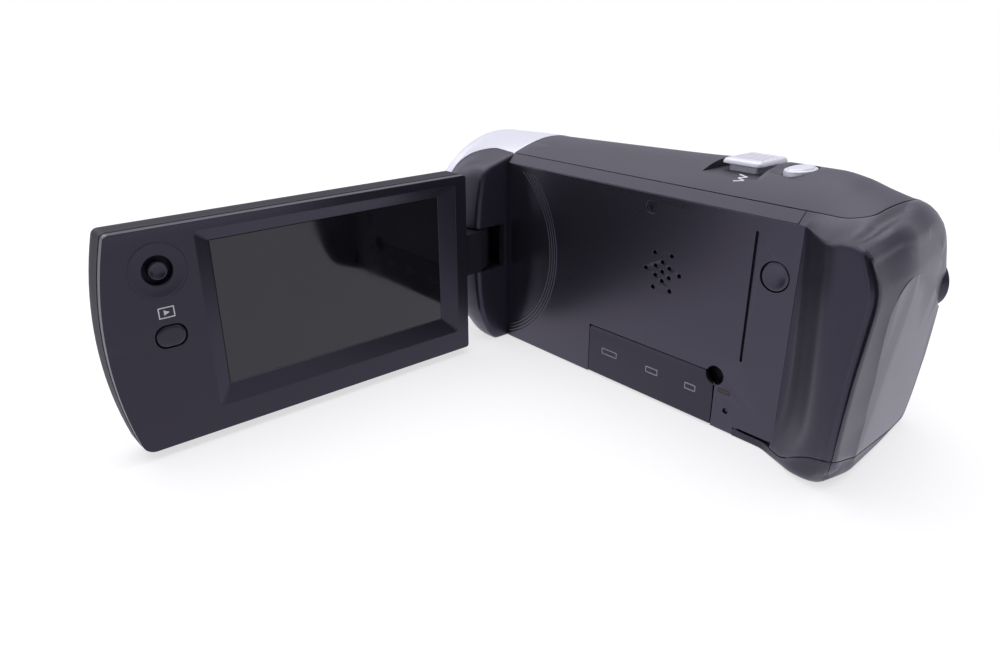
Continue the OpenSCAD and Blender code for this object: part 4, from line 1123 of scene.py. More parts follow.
def bar(name: str, loop: Loop, place: Placer, rows: Sequence[Pair]) -> Piece:
    """Lofts a loop through rows of (height, inset) into a closed bar.

    Args:
        name: the object's name.
        loop: the outline, counter-clockwise.
        place: turns loop coordinates and height into the row frame.
        rows: the height and the inset of each row.

    Returns:
        The bar, closed at both ends.
    """
    base = np.array(loop, float)
    ahead = np.roll(base, -1, 0) - np.roll(base, 1, 0)
    normal = np.stack([ahead[:, 1], -ahead[:, 0]], 1)
    normal /= np.linalg.norm(normal, axis=1)[:, None] + 1e-12
    area = 0.5 * np.sum(base[:, 0] * np.roll(base[:, 1], -1) - np.roll(base[:, 0], -1) * base[:, 1])
    if area < 0:
        normal = -normal
    points = []
    for height, inset in rows:
        for p in base - normal * inset:
            points.append(place(p[0], p[1], height))
    return mesh_object(name, points, capped(len(rows), len(loop)))


# --- Outer mouldings ---


@dataclass
class Mouldings:
    """Top cover, right shell, back moulding, battery cover and the strip over the bay."""

    shop: Workshop
    form: BodyForm = field(default_factory=BodyForm)
    wall: float = 1.4
    seam: float = 0.12
    cover_corner: Pair = (-7.9, -51.2)
    corner_r: float = 5.2
    right_z: float = 42.0
    zoom_tub: Box = (-10.9, -29.6, 13.9, -15.4)
    photo_at: Pair = (-0.2, -35.1)
    record_at: Point = (21.4, -57.1, 35.0)
    record_turn: float = 60.0
    record_hole_r: float = 5.75
    record_sides: int = 32

    def cover_planes(self, gap: float) -> list[tuple[Point, Point]]:
        """Returns the planes round the top cover, drawn in by a gap."""
        cx, cy = self.cover_corner
        r = self.corner_r - gap
        left = math.hypot(0.82, 0.57)
        planes: list[tuple[Point, Point]] = [
            ((self.form.seam_x + gap * 1.2, 0, self.form.seam_z), (-0.82 / left, 0, -0.57 / left)),
        ]
        for degrees in (14, 28, 42, 56, 70, 82):
            a = math.radians(degrees)
            planes.append(((cx - r * math.cos(a), cy - r * math.sin(a), 50),
                           (-math.cos(a), -math.sin(a), 0)))
        planes.append(((cx, cy - r, 50), (-0.045, -1, 0)))
        planes.append(((25, 0, self.right_z + gap), (0.06, 0, -1)))
        return planes

    def top_cover(self, skin: Piece) -> None:
        """Builds the crowned cover with the zoom lever's tub and the photo button's hole."""
        cover = thicken(skin, 2.7)
        x0, y0, x1, y1 = self.zoom_tub
        cut(cover, box_cutter((x0, y0, 57.0), (x1, y1, 70), 1.6))
        px, py = self.photo_at
        hole = bar("cutter", ring(px, py, 5.2, 48, 0.63), lambda a, b, h: (a, b, h),
                   [(50, 0), (70, 0)])
        cut(cover, hole)
        scoop = lathe("cutter", [(0.001, -7)] + [(7 * math.cos(a), 7 * math.sin(a)) for a in
                      np.linspace(-1.45, 1.45, 22)] + [(0.001, 7)], 48,
                      lambda a, b, h: (px - 3.1 + a, py + 2.3 + b, 65.05 + h))
        weld(scoop)
        cut(cover, scoop)
        cover.name = "top_cover_made"
        soften(cover, 0.3, 38, 2)
        self.shop.deliver(cover, Dress.COVER, "top_cover")

    def strip(self) -> None:
        """Builds the leaning strip between the bay and the top cover."""
        f = self.form
        loop = [(f.bay_x, f.bay_h + 0.02), (f.seam_x, f.seam_z - 0.05),
                (f.seam_x + 1.9, f.seam_z - 0.8), (f.bay_x + 2.7, f.bay_h + 0.02)]
        piece = bar("top_strip_made", loop[::-1], lambda a, b, h: (a, h, b),
                    [(-44.42, 0.0), (42.4, 0.0)])
        soften(piece, 0.22, 30, 3)
        self.shop.deliver(piece, Dress.COVER, "top_strip")

    def build(self) -> None:
        """Cuts the skin along its seams and gives each part its wall."""
        skin = self.form.skin()
        inside, spare = split(duplicate(skin, "cover_skin"), "cover", self.cover_planes(self.seam))
        bpy.data.objects.remove(spare)
        self.top_cover(inside)
        spare, outside = split(skin, "rest", self.cover_planes(-self.seam))
        bpy.data.objects.remove(spare)
        self.bend(outside, -1)
        low, high = duplicate(outside, "low"), outside
        clip(low, (0, 0, -0.05), (0, 0, 1), False)
        clip(high, (0, 0, 0.2), (0, 0, 1), True)
        self.bend(low, 1)
        self.bend(high, 1)
        clip(low, (0, -35.9, 0), (0, 1, 0), False)
        right = duplicate(low, "lid_right")
        clip(right, (18, 0, 0), (1, 0, 0), True)
        clip(low, (18, 0, 0), (1, 0, 0), False)
        clip(right, (0, -51.1, 0), (0, 1, 0), False)
        lid = join("lid", [low, right])
        weld(lid)
        self.right_shell(duplicate(high, "right"))
        self.back(high)
        self.lid(lid)
        self.strip()

    def bend(self, piece: Piece, turn: int) -> None:
        """Shifts a skin by the battery seam's height, so that one flat cut follows the seam."""
        for v in piece.data.vertices:
            v.co.z += turn * MM * self.form.seam_height(v.co.x / MM, v.co.y / MM)

    def right_shell(self, skin: Piece) -> None:
        """Builds the right side between the front housing and the back moulding."""
        clip(skin, (18, 0, 0), (1, 0, 0), True)
        clip(skin, (0, -50.85, 0), (0, 1, 0), True)
        weld(skin)
        skin.name = "right_shell_made"
        side = thicken(skin, self.wall)
        soften(side, 0.25, 40, 2)
        self.shop.deliver(side, Dress.BODY, "right_shell")

    def back(self, skin: Piece) -> None:
        """Builds the back moulding with the bulge behind the bay."""
        right = duplicate(skin, "back_right")
        clip(right, (0, 0, 0), (1, 0, 0), True)
        clip(right, (0, -51.1, 0), (0, 1, 0), False)
        strip = duplicate(skin, "back_strip")
        clip(strip, (0, 0, 0), (1, 0, 0), False)
        clip(strip, (0, 0, self.form.bay_h), (0, 0, 1), True)
        clip(strip, (0, -44.55, 0), (0, 1, 0), False)
        clip(skin, (0, 0, 0), (1, 0, 0), False)
        clip(skin, (0, 0, self.form.bay_h), (0, 0, 1), False)
        clip(skin, (0, -46.1, 0), (0, 1, 0), False)
        whole = join("rear_body_made", [right, strip, skin])
        weld(whole)
        hole, whole = split(whole, "record", self.record_planes())
        bpy.data.objects.remove(hole)
        weld(whole)
        whole.name = "rear_body_made"
        back = thicken(whole, self.wall)
        soften(back, 0.25, 42, 2)
        self.shop.deliver(back, Dress.BODY, "rear_body")

    def record_planes(self) -> list[tuple[Point, Point]]:
        """Returns the planes round the hole that the record button's collar sits in."""
        x, y, z = self.record_at
        turn = math.radians(self.record_turn)
        s, c = math.sin(turn), math.cos(turn)
        planes: list[tuple[Point, Point]] = [((x - 7 * s, y + 7 * c, z), (-s, c, 0))]
        for k in range(self.record_sides):
            a = math.tau * k / self.record_sides
            out = (math.cos(a) * c, math.cos(a) * s, math.sin(a))
            planes.append(((x + self.record_hole_r * out[0], y + self.record_hole_r * out[1],
                            z + self.record_hole_r * out[2]), out))
        return planes

    def lid(self, skin: Piece) -> None:
        """Builds the battery cover under the bulge."""
        clip(skin, (0, 0, 0.25), (0, 0, 1), True)
        skin.name = "battery_cover_made"
        side = thicken(skin, 1.0)
        floor = plate(
            "lid_floor",
            [(-15.0, -36.0), (-15.0, -49), (-17.2, -52.5), (-18.2, -55), (-17.2, -57), (-13, -57.8),
             (16, -57.4), (20, -55), (20.5, -51), (17.9, -50.9), (17.9, -36.0)][::-1],
            [], 1.6, 0.2, lambda a, b, h: (a, b, 0.3 + h))
        whole = join("battery_cover_made", [side, floor])
        soften(whole, 0.15, 42, 2)
        self.shop.deliver(whole, Dress.CHEEK, "battery_cover")


@dataclass
class SidePanel:
    """Floor of the screen's bay with its grille, marks, buttons and jack door."""

    shop: Workshop
    x: float = -15.6
    rear_y: float = -46.05
    front_y: float = 42.4
    top_z: float = 51.68
    base_z: float = 0.35
    speaker: Pair = (-12.5, 33.9)
    ring_at: Pair = (51.5, 28.5)
    power_at: Pair = (-41, 39.9)
    tab_at: Pair = (-29.78, 13.3)

    def place(self, y: float, z: float, depth: float) -> Point:
        """Turns panel coordinates into the row frame, depth inwards."""
        return (self.x + depth, y, z)

    def grille(self) -> list[Loop]:
        """Returns the loops of the thirteen speaker holes."""
        cy, cz = self.speaker
        loops = []
        for radius, count in ((0, 1), (2.3, 6), (4.9, 6)):
            for k in range(count):
                a = math.radians(360 * k / count + radius * 12)
                loops.append(ring(cy + radius * math.cos(a), cz + radius * math.sin(a), 0.55, 16))
        return loops

    def build(self) -> None:
        """Builds the panel as one plate with every opening."""
        outline = [(self.rear_y, 2.5), (-37.4, 2.5), (-36.5, 2.2), (-35.95, 1.6),
                   (-35.8, self.base_z), (-29.9, self.base_z),
                   (-29.9, 11.2)]
        ty, tz = self.tab_at
        for k in range(13):
            a = math.radians(-110 - 250 * k / 12 + 20)
            outline.append((ty + 2.3 * math.cos(a), tz + 2.3 * math.sin(a)))
        outline += [(-27.0, 13.95), (9.5, 13.95), (9.5, self.base_z), (self.front_y, self.base_z),
                    (self.front_y, self.top_z), (self.rear_y, self.top_z)]
        holes = self.grille()
        holes.append(ring(*self.power_at, 3.35, 40))
        holes.append(ring(-33.5, 5.5, 0.7, 16))
        holes.append(rounded_rect(-34.2, 9.6, -31.0, 10.6, 0.3, 3))
        holes.append(ring(-8.1, 48.6, 1.5, 28))
        holes.append(rounded_rect(-36.1, 18.8, -35.5, 48.6, 0.2, 2))
        panel = plate("side_panel_made", outline, holes, 1.5, 0.12, self.place)
        parts = [self.shop.dress(panel, Dress.BAY)]
        back = plate("groove_floor", rounded_rect(-36.3, 18.6, -33.3, 48.8, 0.2, 2), [], 0.4, 0.05,
                     lambda a, b, h: (self.x + 0.8 + h, a, b))
        parts.append(self.shop.dress(back, Dress.BAY))
        for k in range(4):
            parts.append(self.shop.dress(self.arc(26.35 + 0.85 * k), Dress.BAY))
        whole = join("side_panel_made", parts)
        self.shop.deliver(whole, Dress.BAY, "side_panel")
        self.door()
        self.power_key()

    def arc(self, radius: float) -> Piece:
        """Builds one raised ring line that the tilting screen follows."""
        cy, cz = self.ring_at
        points = []
        count = 72
        shape = ((-0.22, 0.0), (-0.1, -0.09), (0.1, -0.09), (0.22, 0.0))
        for k in range(count + 1):
            a = math.radians(90 + 180 * k / count)
            y = cy + radius * math.cos(a)
            z = cz + radius * math.sin(a)
            if y > self.front_y - 0.4 or not 2.0 < z < self.top_z - 1.2:
                continue
            for dr, dx in shape:
                points.append((self.x + dx, cy + (radius + dr) * math.cos(a),
                               cz + (radius + dr) * math.sin(a)))
        faces = grid_faces(len(points) // len(shape), len(shape), False)
        return shade(mesh_object("arc", points, faces), 60)

    def door(self) -> None:
        """Builds the jack door with its rounded corner and three plain socket marks."""
        y0, y1, z1 = -29.7, 9.35, 13.78
        loop = [(y0 + 0.02, 0.6), (y1, 0.6)]
        for k in range(6):
            a = math.radians(90 * k / 5)
            loop.append((y1 - 1 + math.cos(a), z1 - 1 + math.sin(a)))
        loop.append((y0 + 2.5, z1))
        ty, tz = self.tab_at
        for k in range(9):
            a = math.radians(-2 - 88 * k / 8)
            loop.append((ty + 2.45 * math.cos(a), tz + 2.45 * math.sin(a)))
        door = plate("jack_door_made", loop, [], 1.25, 0.12,
                     lambda a, b, h: (self.x + 0.02 + h, a, b))
        parts = [self.shop.dress(door, Dress.CHEEK)]
        x = self.x - 0.012
        for cy in (2.2, -11.8, -23.4):
            wide = 5.2 if cy > 0 else 3.8 if cy > -15 else 3.2
            mark = plate("mark", rounded_rect(cy - wide / 2, 7.0, cy + wide / 2, 8.7, 0.25, 3),
                         [rounded_rect(cy - wide / 2 + 0.28, 7.28, cy + wide / 2 - 0.28, 8.42, 0.1, 2)],
                         0.03, 0.005, lambda a, b, h: (x + h, a, b))
            parts.append(self.shop.dress(mark, Dress.INK_GREY))
        whole = join("jack_door_made", parts)
        self.shop.deliver(whole, Dress.CHEEK, "jack_door")

    def power_key(self) -> None:
        """Builds the flush round button with its shallow dish."""
        profile = [(0.001, 0.42)] + [(r, 0.42 - 0.36 * (r / 2.75) ** 2) for r in
                                     (0.6, 1.2, 1.8, 2.3, 2.75)]
        profile += [(2.95, 0.1), (3.08, 0.22), (3.1, 0.5), (3.1, 1.8), (0.001, 1.8)]
        y, z = self.power_at
        key = lathe("power_button_made", profile, 56, lambda a, b, h: (self.x + h, y + a, z + b))
        weld(key)
        shade(key, 40)
        self.shop.deliver(key, Dress.BAY, "power_button")


@dataclass
class TopControls:
    """Zoom lever, photo button and the printed marks beside them."""

    shop: Workshop
    form: BodyForm = field(default_factory=BodyForm)
    lever: Box = (-3.2, -27.2, 9.0, -17.0)
    photo_at: Pair = (-0.2, -35.1)

    def build(self) -> None:
        """Builds the controls."""
        self.zoom_lever()
        self.photo_button()
        self.marks()

    def zoom_lever(self) -> None:
        """Builds the ribbed silver lever in its tub."""
        x0, y0, x1, y1 = self.lever
        rows = [(58.5, 0.25), (58.65, 0.0), (59.1, 0.1), (59.5, 0.35), (59.72, 0.75), (59.8, 1.3)]
        body = bar("lever", rounded_rect(x0, y0, x1, y1, 1.4, 6), lambda a, b, h: (a, b, h), rows)
        shade(body, 30)
        for k in range(-2, 3):
            x = 2.9 + k * 1.5
            cut(body, box_cutter((x - 0.25, y0 + 1.2, 59.5), (x + 0.25, y1 - 1.2, 62), 0.24))
        soften(body, 0.08, 40, 2)
        stem = box_cutter((-2.0, -26.0, 56.1), (7.8, -18.4, 58.6), 0.8)
        foot = box_cutter((-2.5, -26.2, 55.0), (5.5, -20.2, 56.1), 0.5)
        for piece in (body, stem, foot):
            self.shop.dress(piece, Dress.SILVER)
        whole = join("zoom_lever_made", [body, stem, foot])
        self.shop.deliver(whole, Dress.SILVER, "zoom_lever")

    def photo_button(self) -> None:
        """Builds the oval silver button with its stepped crown."""
        rows = [(56.1, 0), (58.9, 0), (59.3, 0.12), (59.45, 0.4), (59.5, 0.7), (59.65, 0.8),
                (59.75, 1.0), (59.78, 1.4)]
        body = bar("photo", ring(*self.photo_at, 4.9, 56, 0.62), lambda a, b, h: (a, b, h), rows)
        flange = bar("flange", ring(*self.photo_at, 5.5, 48, 0.64), lambda a, b, h: (a, b, h),
                     [(55.2, 0), (56.1, 0)])
        for piece in (body, flange):
            self.shop.dress(shade(piece, 35), Dress.SILVER)
        whole = join("photo_button_made", [body, flange])
        self.shop.deliver(whole, Dress.SILVER, "photo_button")

    def surface_z(self, x: float, y: float) -> float:
        """Returns the height of the top cover at a place."""
        top = self.form.crest(y)
        if x <= self.form.crown_x:
            t = (self.form.crown_x - x) / 15.1
            return top - (top - self.form.seam_z) * t * t
        c = (x - self.form.crown_x) / 23
        return self.form.shoulder_z + (top - self.form.shoulder_z) * math.sqrt(max(0, 1 - c * c))

    def letter(self, strokes: Sequence[tuple[Point, Point]], width: float) -> Piece:
        """Builds printed strokes that follow the top cover."""
        points, faces = [], []
        for (xa, ya), (xb, yb) in strokes:
            dx, dy = xb - xa, yb - ya
            size = math.hypot(dx, dy)
            nx, ny = -dy / size * width / 2, dx / size * width / 2
            steps = 5
            start = len(points)
            for k in range(steps + 1):
                t = k / steps
                for s in (-1, 1):
                    x, y = xa + dx * t + s * nx, ya + dy * t + s * ny
                    points.append((x, y, self.surface_z(x, y) + 0.03))
            faces += [[start + c for c in quad] for quad in grid_faces(steps + 1, 2, False)]
        return mesh_object("mark", points, faces)

    def marks(self) -> None:
        """Prints W and T beside the lever."""
        strokes = []
        cx, cy, s = -8.3, -25.9, 1.15
        shape = [(-1, 1), (-0.5, -1), (0, 0.6), (0.5, -1), (1, 1)]
        for (a, b), (c, d) in zip(shape, shape[1:]):
            strokes.append(((cx + s * a, cy + s * b), (cx + s * c, cy + s * d)))
        parts = [self.letter(strokes, 0.34)]
        cx = 16.0
        parts.append(self.letter([((cx - 1.0, cy + 1.1), (cx + 1.0, cy + 1.1)),
                                  ((cx, cy + 1.1), (cx, cy - 1.1))], 0.34))
        whole = join("top_marks", [self.shop.dress(p, Dress.INK) for p in parts])
        self.shop.attach(whole, Dress.INK, "top_cover")


# --- Front ---


@dataclass
class Front:
    """Front housing with the hinge post, silver rim and saddle, face plate and lens bore."""

    shop: Workshop
    form: BodyForm = field(default_factory=BodyForm)
    lens_x: float = -0.5
    lens_z: float = 28.7
    rim_r: float = 28.2
    post_y: float = 42.5
    ring_y: float = 60.0
    front_y: float = 63.5
    columns: int = 180

    def post_section(self) -> np.ndarray:
        """Returns the outline at the hinge post as a ray length for each angle."""
        left = [(-19.7, 0.0), (-21.3, 1.1), (-22.4, 2.6), (-24.4, 6.5), (-25.8, 10.7), (-26.5, 16),
                (-26.9, 22.4), (-27.1, 28.5), (-26.9, 34.6), (-26.1, 42), (-24.9, 48.4),
                (-23.8, 50.3), (-21.8, 51.6), (-18.0, 52.7), (-13.1, 54.0)]
        for x, z in self.form.outline(self.post_y)[1:]:
            left.append((x, z))
            if z == 0.0:
                break
        loop = np.array(left)
        cx, cz = self.lens_x, self.lens_z
        rays = []
        for k in range(self.columns):
            a = math.tau * k / self.columns
            d = np.array([math.cos(a), math.sin(a)])
            best = 0.0
            for p, q in zip(loop, np.roll(loop, -1, 0)):
                e = q - p
                det = d[0] * -e[1] + e[0] * d[1]
                if abs(det) < 1e-12:
                    continue
                w = p - (cx, cz)
                t = (w[0] * -e[1] + e[0] * w[1]) / det
                u = (d[0] * w[1] - d[1] * w[0]) / det
                if t > 0 and -1e-9 <= u <= 1 + 1e-9:
                    best = max(best, t)
            rays.append(best)
        return np.array(rays)

    def body(self) -> Piece:
        """Lofts the closed form from the hinge post to the round rim."""
        start = self.post_section()
        core = np.full(self.columns, 2.0)
        rows = [(self.post_y, core)]
        for inset in (12.0, 5.0, 2.0):
            rows.append((self.post_y, np.maximum(start - inset, core)))
        edge = 1.6
        angles = [math.tau * k / self.columns for k in range(self.columns)]
        left = np.array([max(0.0, -math.cos(a)) ** 0.7 for a in angles])
        r0 = 0.12 + (edge - 0.12) * left
        for degrees in (0, 18, 36, 54, 72, 90):
            t = math.radians(degrees)
            rows.append((self.post_y, start - r0 * (1 - math.sin(t)), r0 * (1 - math.cos(t))))
        count = 16
        for k in range(1, count + 1):
            t = k / count
            y = self.post_y + edge + (self.ring_y - self.post_y - edge) * t
            ease = t * t * (1.35 - 0.35 * t)
            side = np.array([max(0.0, -math.cos(a)) for a in angles])
            swell = 0.9 * side * math.sin(math.pi * min(t * 1.1, 1.0))
            rows.append((y, start + (self.rim_r - start) * ease + swell))
        rows.append((self.ring_y, np.full(self.columns, self.rim_r - 2.0)))
        rows.append((self.ring_y, core))
        points = []
        for row in rows:
            y, radii = row[0], row[1]
            shift = row[2] if len(row) > 2 else np.zeros(self.columns)
            for a, r, dy in zip(angles, radii, shift):
                points.append((self.lens_x + r * math.cos(a), y + dy, self.lens_z + r * math.sin(a)))
        return mesh_object("front_skin", points, capped(len(rows), self.columns))

    def build(self) -> None:
        """Builds the housing, the silver pieces and the face plate."""
        skin = self.body()
        side = [(42.0, -13.1), (50.0, -13.2), (52.0, -13.9), (54.8, -15.4), (57.5, -16.9),
                (59.3, -18.5), (60.1, -20.7), (70, -40)]
        top = duplicate(skin, "saddle_skin")
        clip(top, (0, 0, 44.5), (0, 0, 1), True)
        clip(top, (0, 42.7, 0), (0, 1, 0), True)
        clip(top, (0, 59.9, 0), (0, 1, 0), False)
        low, high = curtain(top, "saddle", 1, 0, side)
        bpy.data.objects.remove(low)
        mirrored = [(y, 2 * self.lens_x - x) for y, x in side]
        saddle, high = curtain(high, "saddle2", 1, 0, mirrored)
        bpy.data.objects.remove(high)
        self.lift(saddle, 0.12)
        saddle = thicken(saddle, 1.2)
        soften(saddle, 0.2, 40, 2)
        self.shop.dress(saddle, Dress.SILVER)
        rim = self.rim()
        self.shop.dress(rim, Dress.SILVER)
        silver = join("front_ring_made", [rim, saddle])
        self.shop.deliver(silver, Dress.SILVER, "front_ring")
        self.housing(skin)
        self.face_plate()

    def lift(self, piece: Piece, by: float) -> None:
        """Moves a skin outwards from the lens axis."""
        for v in piece.data.vertices:
            d = Vector((v.co.x - self.lens_x * MM, 0, v.co.z - self.lens_z * MM))
            v.co += d.normalized() * by * MM

    def housing(self, solid: Piece) -> None:
        """Cuts the window of the turning block, the lens bore and the switch slot."""
        weld(solid)
        with editing(solid.data) as work:
            bmesh.ops.recalc_face_normals(work, faces=work.faces)
        cut(solid, box_cutter((-40, 40, 22.3), (-17.1, 50.3, 34.7), 0.5, 0))
        cut(solid, lathe_solid(6.9, 22.3, 34.7, -25.2, 49.3))
        cut(solid, rod_cutter(self.lens_x, self.lens_z, 14.6, 41, 45, 64))
        cut(solid, rod_cutter(self.lens_x, self.lens_z, 20.6, 44.5, 53.9, 64))
        cut(solid, rod_cutter(self.lens_x, self.lens_z, 13.45, 53.5, 61, 64))
        cut(solid, rod_cutter(self.lens_x, self.lens_z, 24.2, 56.4, 62, 96))
        cut(solid, box_cutter((13, 49.6, 20.5), (31, 53.3, 31.9), 0.6, 0))
        solid.name = "front_housing_made"
        soften(solid, 0.22, 42, 2)
        self.shop.deliver(solid, Dress.BODY, "front_housing")

    def rim(self) -> Piece:
        """Turns the silver rim with its rolled lip."""
        profile = [(24.3, 62.3), (24.35, 62.25), (25.2, 62.6), (26.2, 63.15), (27.0, 63.45),
                   (27.5, 63.5), (27.95, 63.35), (28.2, 62.95), (28.28, 62.3), (28.3, 61.0),
                   (28.25, 60.15), (28.1, 60.03), (25.0, 60.03), (24.3, 60.03), (24.3, 62.3)]
        made = lathe("rim", profile, 160,
                     lambda a, b, h: (self.lens_x + a, h, self.lens_z + b))
        weld(made)
        return shade(made, 32)

    def face_plate(self) -> None:
        """Builds the face plate with its stepped mouth and sound slots."""
        holes = [ring(self.lens_x, self.lens_z, 12.6, 96)]
        for s in (-1, 1):
            for k in (-1, 0, 1):
                x = self.lens_x + s * 15 + k * 1.2
                holes.append(rounded_rect(x - 0.3, 12.4, x + 0.3, 15.0, 0.28, 3))
        flat = plate("face_plate_made", ring(self.lens_x, self.lens_z, 24.1, 128), holes, 2.4, 0.15,
                     lambda a, b, h: (a, 61.0 - h, b))
        mouth = lathe("mouth", [(12.62, 60.9), (12.5, 61.0), (12.3, 61.02), (12.0, 60.9), (10.1, 59.3),
                                (10.0, 59.1), (10.0, 58.6), (12.7, 58.6), (12.62, 60.9)], 96,
                      lambda a, b, h: (self.lens_x + a, h, self.lens_z + b))
        weld(mouth)
        shade(mouth, 30)
        rails = []
        for s in (-1, 1):
            x = self.lens_x + s * 11.9
            rails.append(box_cutter((x - 0.7, 57.0, 8.7), (x + 0.7, 58.62, 48.7), 0.2, 1))
        for piece in (flat, mouth, *rails):
            self.shop.dress(piece, Dress.GLOSS)
        whole = join("face_plate_made", [flat, mouth, *rails])
        self.shop.deliver(whole, Dress.GLOSS, "face_plate")


def rod_cutter(x: float, z: float, r: float, y0: float, y1: float, n: int) -> Piece:
    """Makes a closed cylinder along Y."""
    return bar("cutter", ring(x, z, r, n), lambda a, b, h: (a, h, b), [(y0, 0), (y1, 0)])


def lathe_solid(r: float, z0: float, z1: float, x: float, y: float) -> Piece:
    """Makes a closed cylinder along Z."""
    return bar("cutter", ring(x, y, r, 64), lambda a, b, h: (a, b, h), [(z0, 0), (z1, 0)])


# --- Screen ---


@dataclass
class ScreenPanel:
    """The fold-out panel: bezel with its sloping frame, glass, controls and back shell."""

    shop: Workshop
    x: float = -32.3
    y: float = 40.0
    z: float = 2.0
    length: float = 92.6
    height: float = 49.0
    bow: float = 3.6
    corners: tuple[float, float, float] = (0.9, 3.0, 1.5)
    screen: Box = (8.7, 10.5, 68.5, 44.1)
    frame_edge: Box = (3.7, 5.8, 71.7, 46.8)
    stick: Pair = (80.0, 40.0)
    key: Pair = (79.6, 25.5)
    icon: Pair = (79.8, 30.9)

    def place(self, u: float, v: float, d: float) -> Point:
        """Turns panel coordinates into the row frame."""
        return (self.x - u, self.y + d, self.z + v)

    def outline(self, inset: float = 0.0) -> Loop:
        """Returns the panel's outline with its bowed free end, drawn in by an inset."""
        half = self.height / 2
        r = (half * half + self.bow * self.bow) / (2 * self.bow)
        cx, big = self.length - r, r - inset
        near, low, high = (max(corner - inset, 0.3) for corner in self.corners)
        turn_low = math.asin((inset + low - half) / (big - low))
        turn_high = math.asin((half - inset - high) / (big - high))
        loop: Loop = []

        def arc(x: float, y: float, radius: float, a0: float, a1: float, n: int) -> None:
            """Adds an arc's points."""
            for k in range(n + 1):
                t = a0 + (a1 - a0) * k / n
                loop.append((x + radius * math.cos(t), y + radius * math.sin(t)))

        arc(inset + near, inset + near, near, math.pi, 1.5 * math.pi, 3)
        arc(cx + (big - low) * math.cos(turn_low), inset + low, low, -math.pi / 2, turn_low, 5)
        arc(cx, half, big, turn_low, turn_high, 18)
        arc(cx + (big - high) * math.cos(turn_high), self.height - inset - high, high, turn_high,
            math.pi / 2, 4)
        arc(inset + near, self.height - inset - near, near, math.pi / 2, math.pi, 3)
        return loop

    def build(self) -> None:
        """Builds every piece of the panel."""
        self.bezel()
        self.shell()
        self.glass()
        self.selector()
        self.view_key()
        self.icons()

    def bezel(self) -> None:
        """Builds the front with its sloping frame, selector dish and button hole."""
        u0, v0, u1, v1 = self.frame_edge
        ku, kv = self.key
        holes = [rounded_rect(u0, v0, u1, v1, 1.0, 4), ring(*self.stick, 6.0, 64),
                 rounded_rect(ku - 3.35, kv - 2.6, ku + 3.35, kv + 2.6, 2.4, 8)]
        face = plate("bezel", self.outline(0.1), holes, 2.0, 0.1, self.place)
        parts = [face, self.slope(), self.dish()]
        for piece in parts:
            self.shop.dress(piece, Dress.PANEL)
        whole = join("panel_bezel_made", parts)
        self.shop.deliver(whole, Dress.PANEL, "panel_bezel")

    def slope(self) -> Piece:
        """Builds the slopes that run down to the screen."""
        u0, v0, u1, v1 = self.frame_edge
        a0, b0, a1, b1 = self.screen
        loops = [
            (rounded_rect(u0 - 0.3, v0 - 0.3, u1 + 0.3, v1 + 0.3, 1.2, 4), 0.3),
            (rounded_rect(u0 - 0.02, v0 - 0.02, u1 + 0.02, v1 + 0.02, 1.0, 4), 0.05),
            (rounded_rect(u0 + 0.25, v0 + 0.25, u1 - 0.2, v1 - 0.15, 0.9, 4), 0.1),
            (rounded_rect(a0 - 0.12, b0 - 0.12, a1 + 0.12, b1 + 0.12, 0.25, 4), 1.0),
            (rounded_rect(a0, b0, a1, b1, 0.2, 4), 1.12),
            (rounded_rect(a0, b0, a1, b1, 0.2, 4), 1.9),
        ]
        points = [self.place(u, v, d) for loop, d in loops for u, v in loop]
        made = mesh_object("slope", points, grid_faces(len(loops), len(loops[0][0]), True))
        return shade(made, 14)

    def dish(self) -> Piece:
        """Turns the shallow dish round the selector, with a raised ring at its hole."""
        u, v = self.stick
        profile = [(6.3, 0.25), (6.02, 0.06), (5.9, 0.02), (5.6, 0.05), (5.0, 0.16), (4.3, 0.27),
                   (3.7, 0.32), (3.4, 0.33), (3.22, 0.38), (3.12, 0.5), (3.08, 0.8), (3.08, 2.0)]
        made = lathe("dish", profile, 72, lambda a, b, h: self.place(u + a, v + b, h))
        return shade(made, 30)

    def shell(self) -> None:
        """Lofts the domed back shell."""
        rows = [(2.06, 0.3), (2.1, 0.06), (2.2, 0.0), (4.0, 0.0), (6.0, 0.0), (7.6, 0.02), (8.5, 0.35),
                (9.3, 1.15), (10.0, 2.3), (10.6, 3.9), (11.05, 6.2), (11.35, 8.6), (11.5, 11.0),
                (11.5, 16.0)]
        points = []
        for depth, inset in rows:
            for u, v in self.outline(inset if inset < 12 else 12):
                if inset >= 12:
                    u = self.length / 2 + (u - self.length / 2) * 0.5
                    v = self.height / 2 + (v - self.height / 2) * 0.5
                points.append(self.place(u, v, depth))
        n = len(self.outline())
        end = len(points)
        faces = [*grid_faces(len(rows), n, True), range(end - n, end), range(n - 1, -1, -1)]
        made = mesh_object("panel_shell_made", points, faces)
        shade(made, 28)
        self.shop.deliver(made, Dress.PANEL_BACK, "panel_shell")

    def glass(self) -> None:
        """Builds the polished cover of the screen."""
        a0, b0, a1, b1 = self.screen
        made = bar("screen_glass_made", rounded_rect(a0 + 0.03, b0 + 0.03, a1 - 0.03, b1 - 0.03, 0.2, 3),
                   self.place, [(1.9, 0.0), (1.12, 0.0), (1.06, 0.06)])
        shade(made, 30)
        self.shop.deliver(made, Dress.SCREEN, "screen_glass")

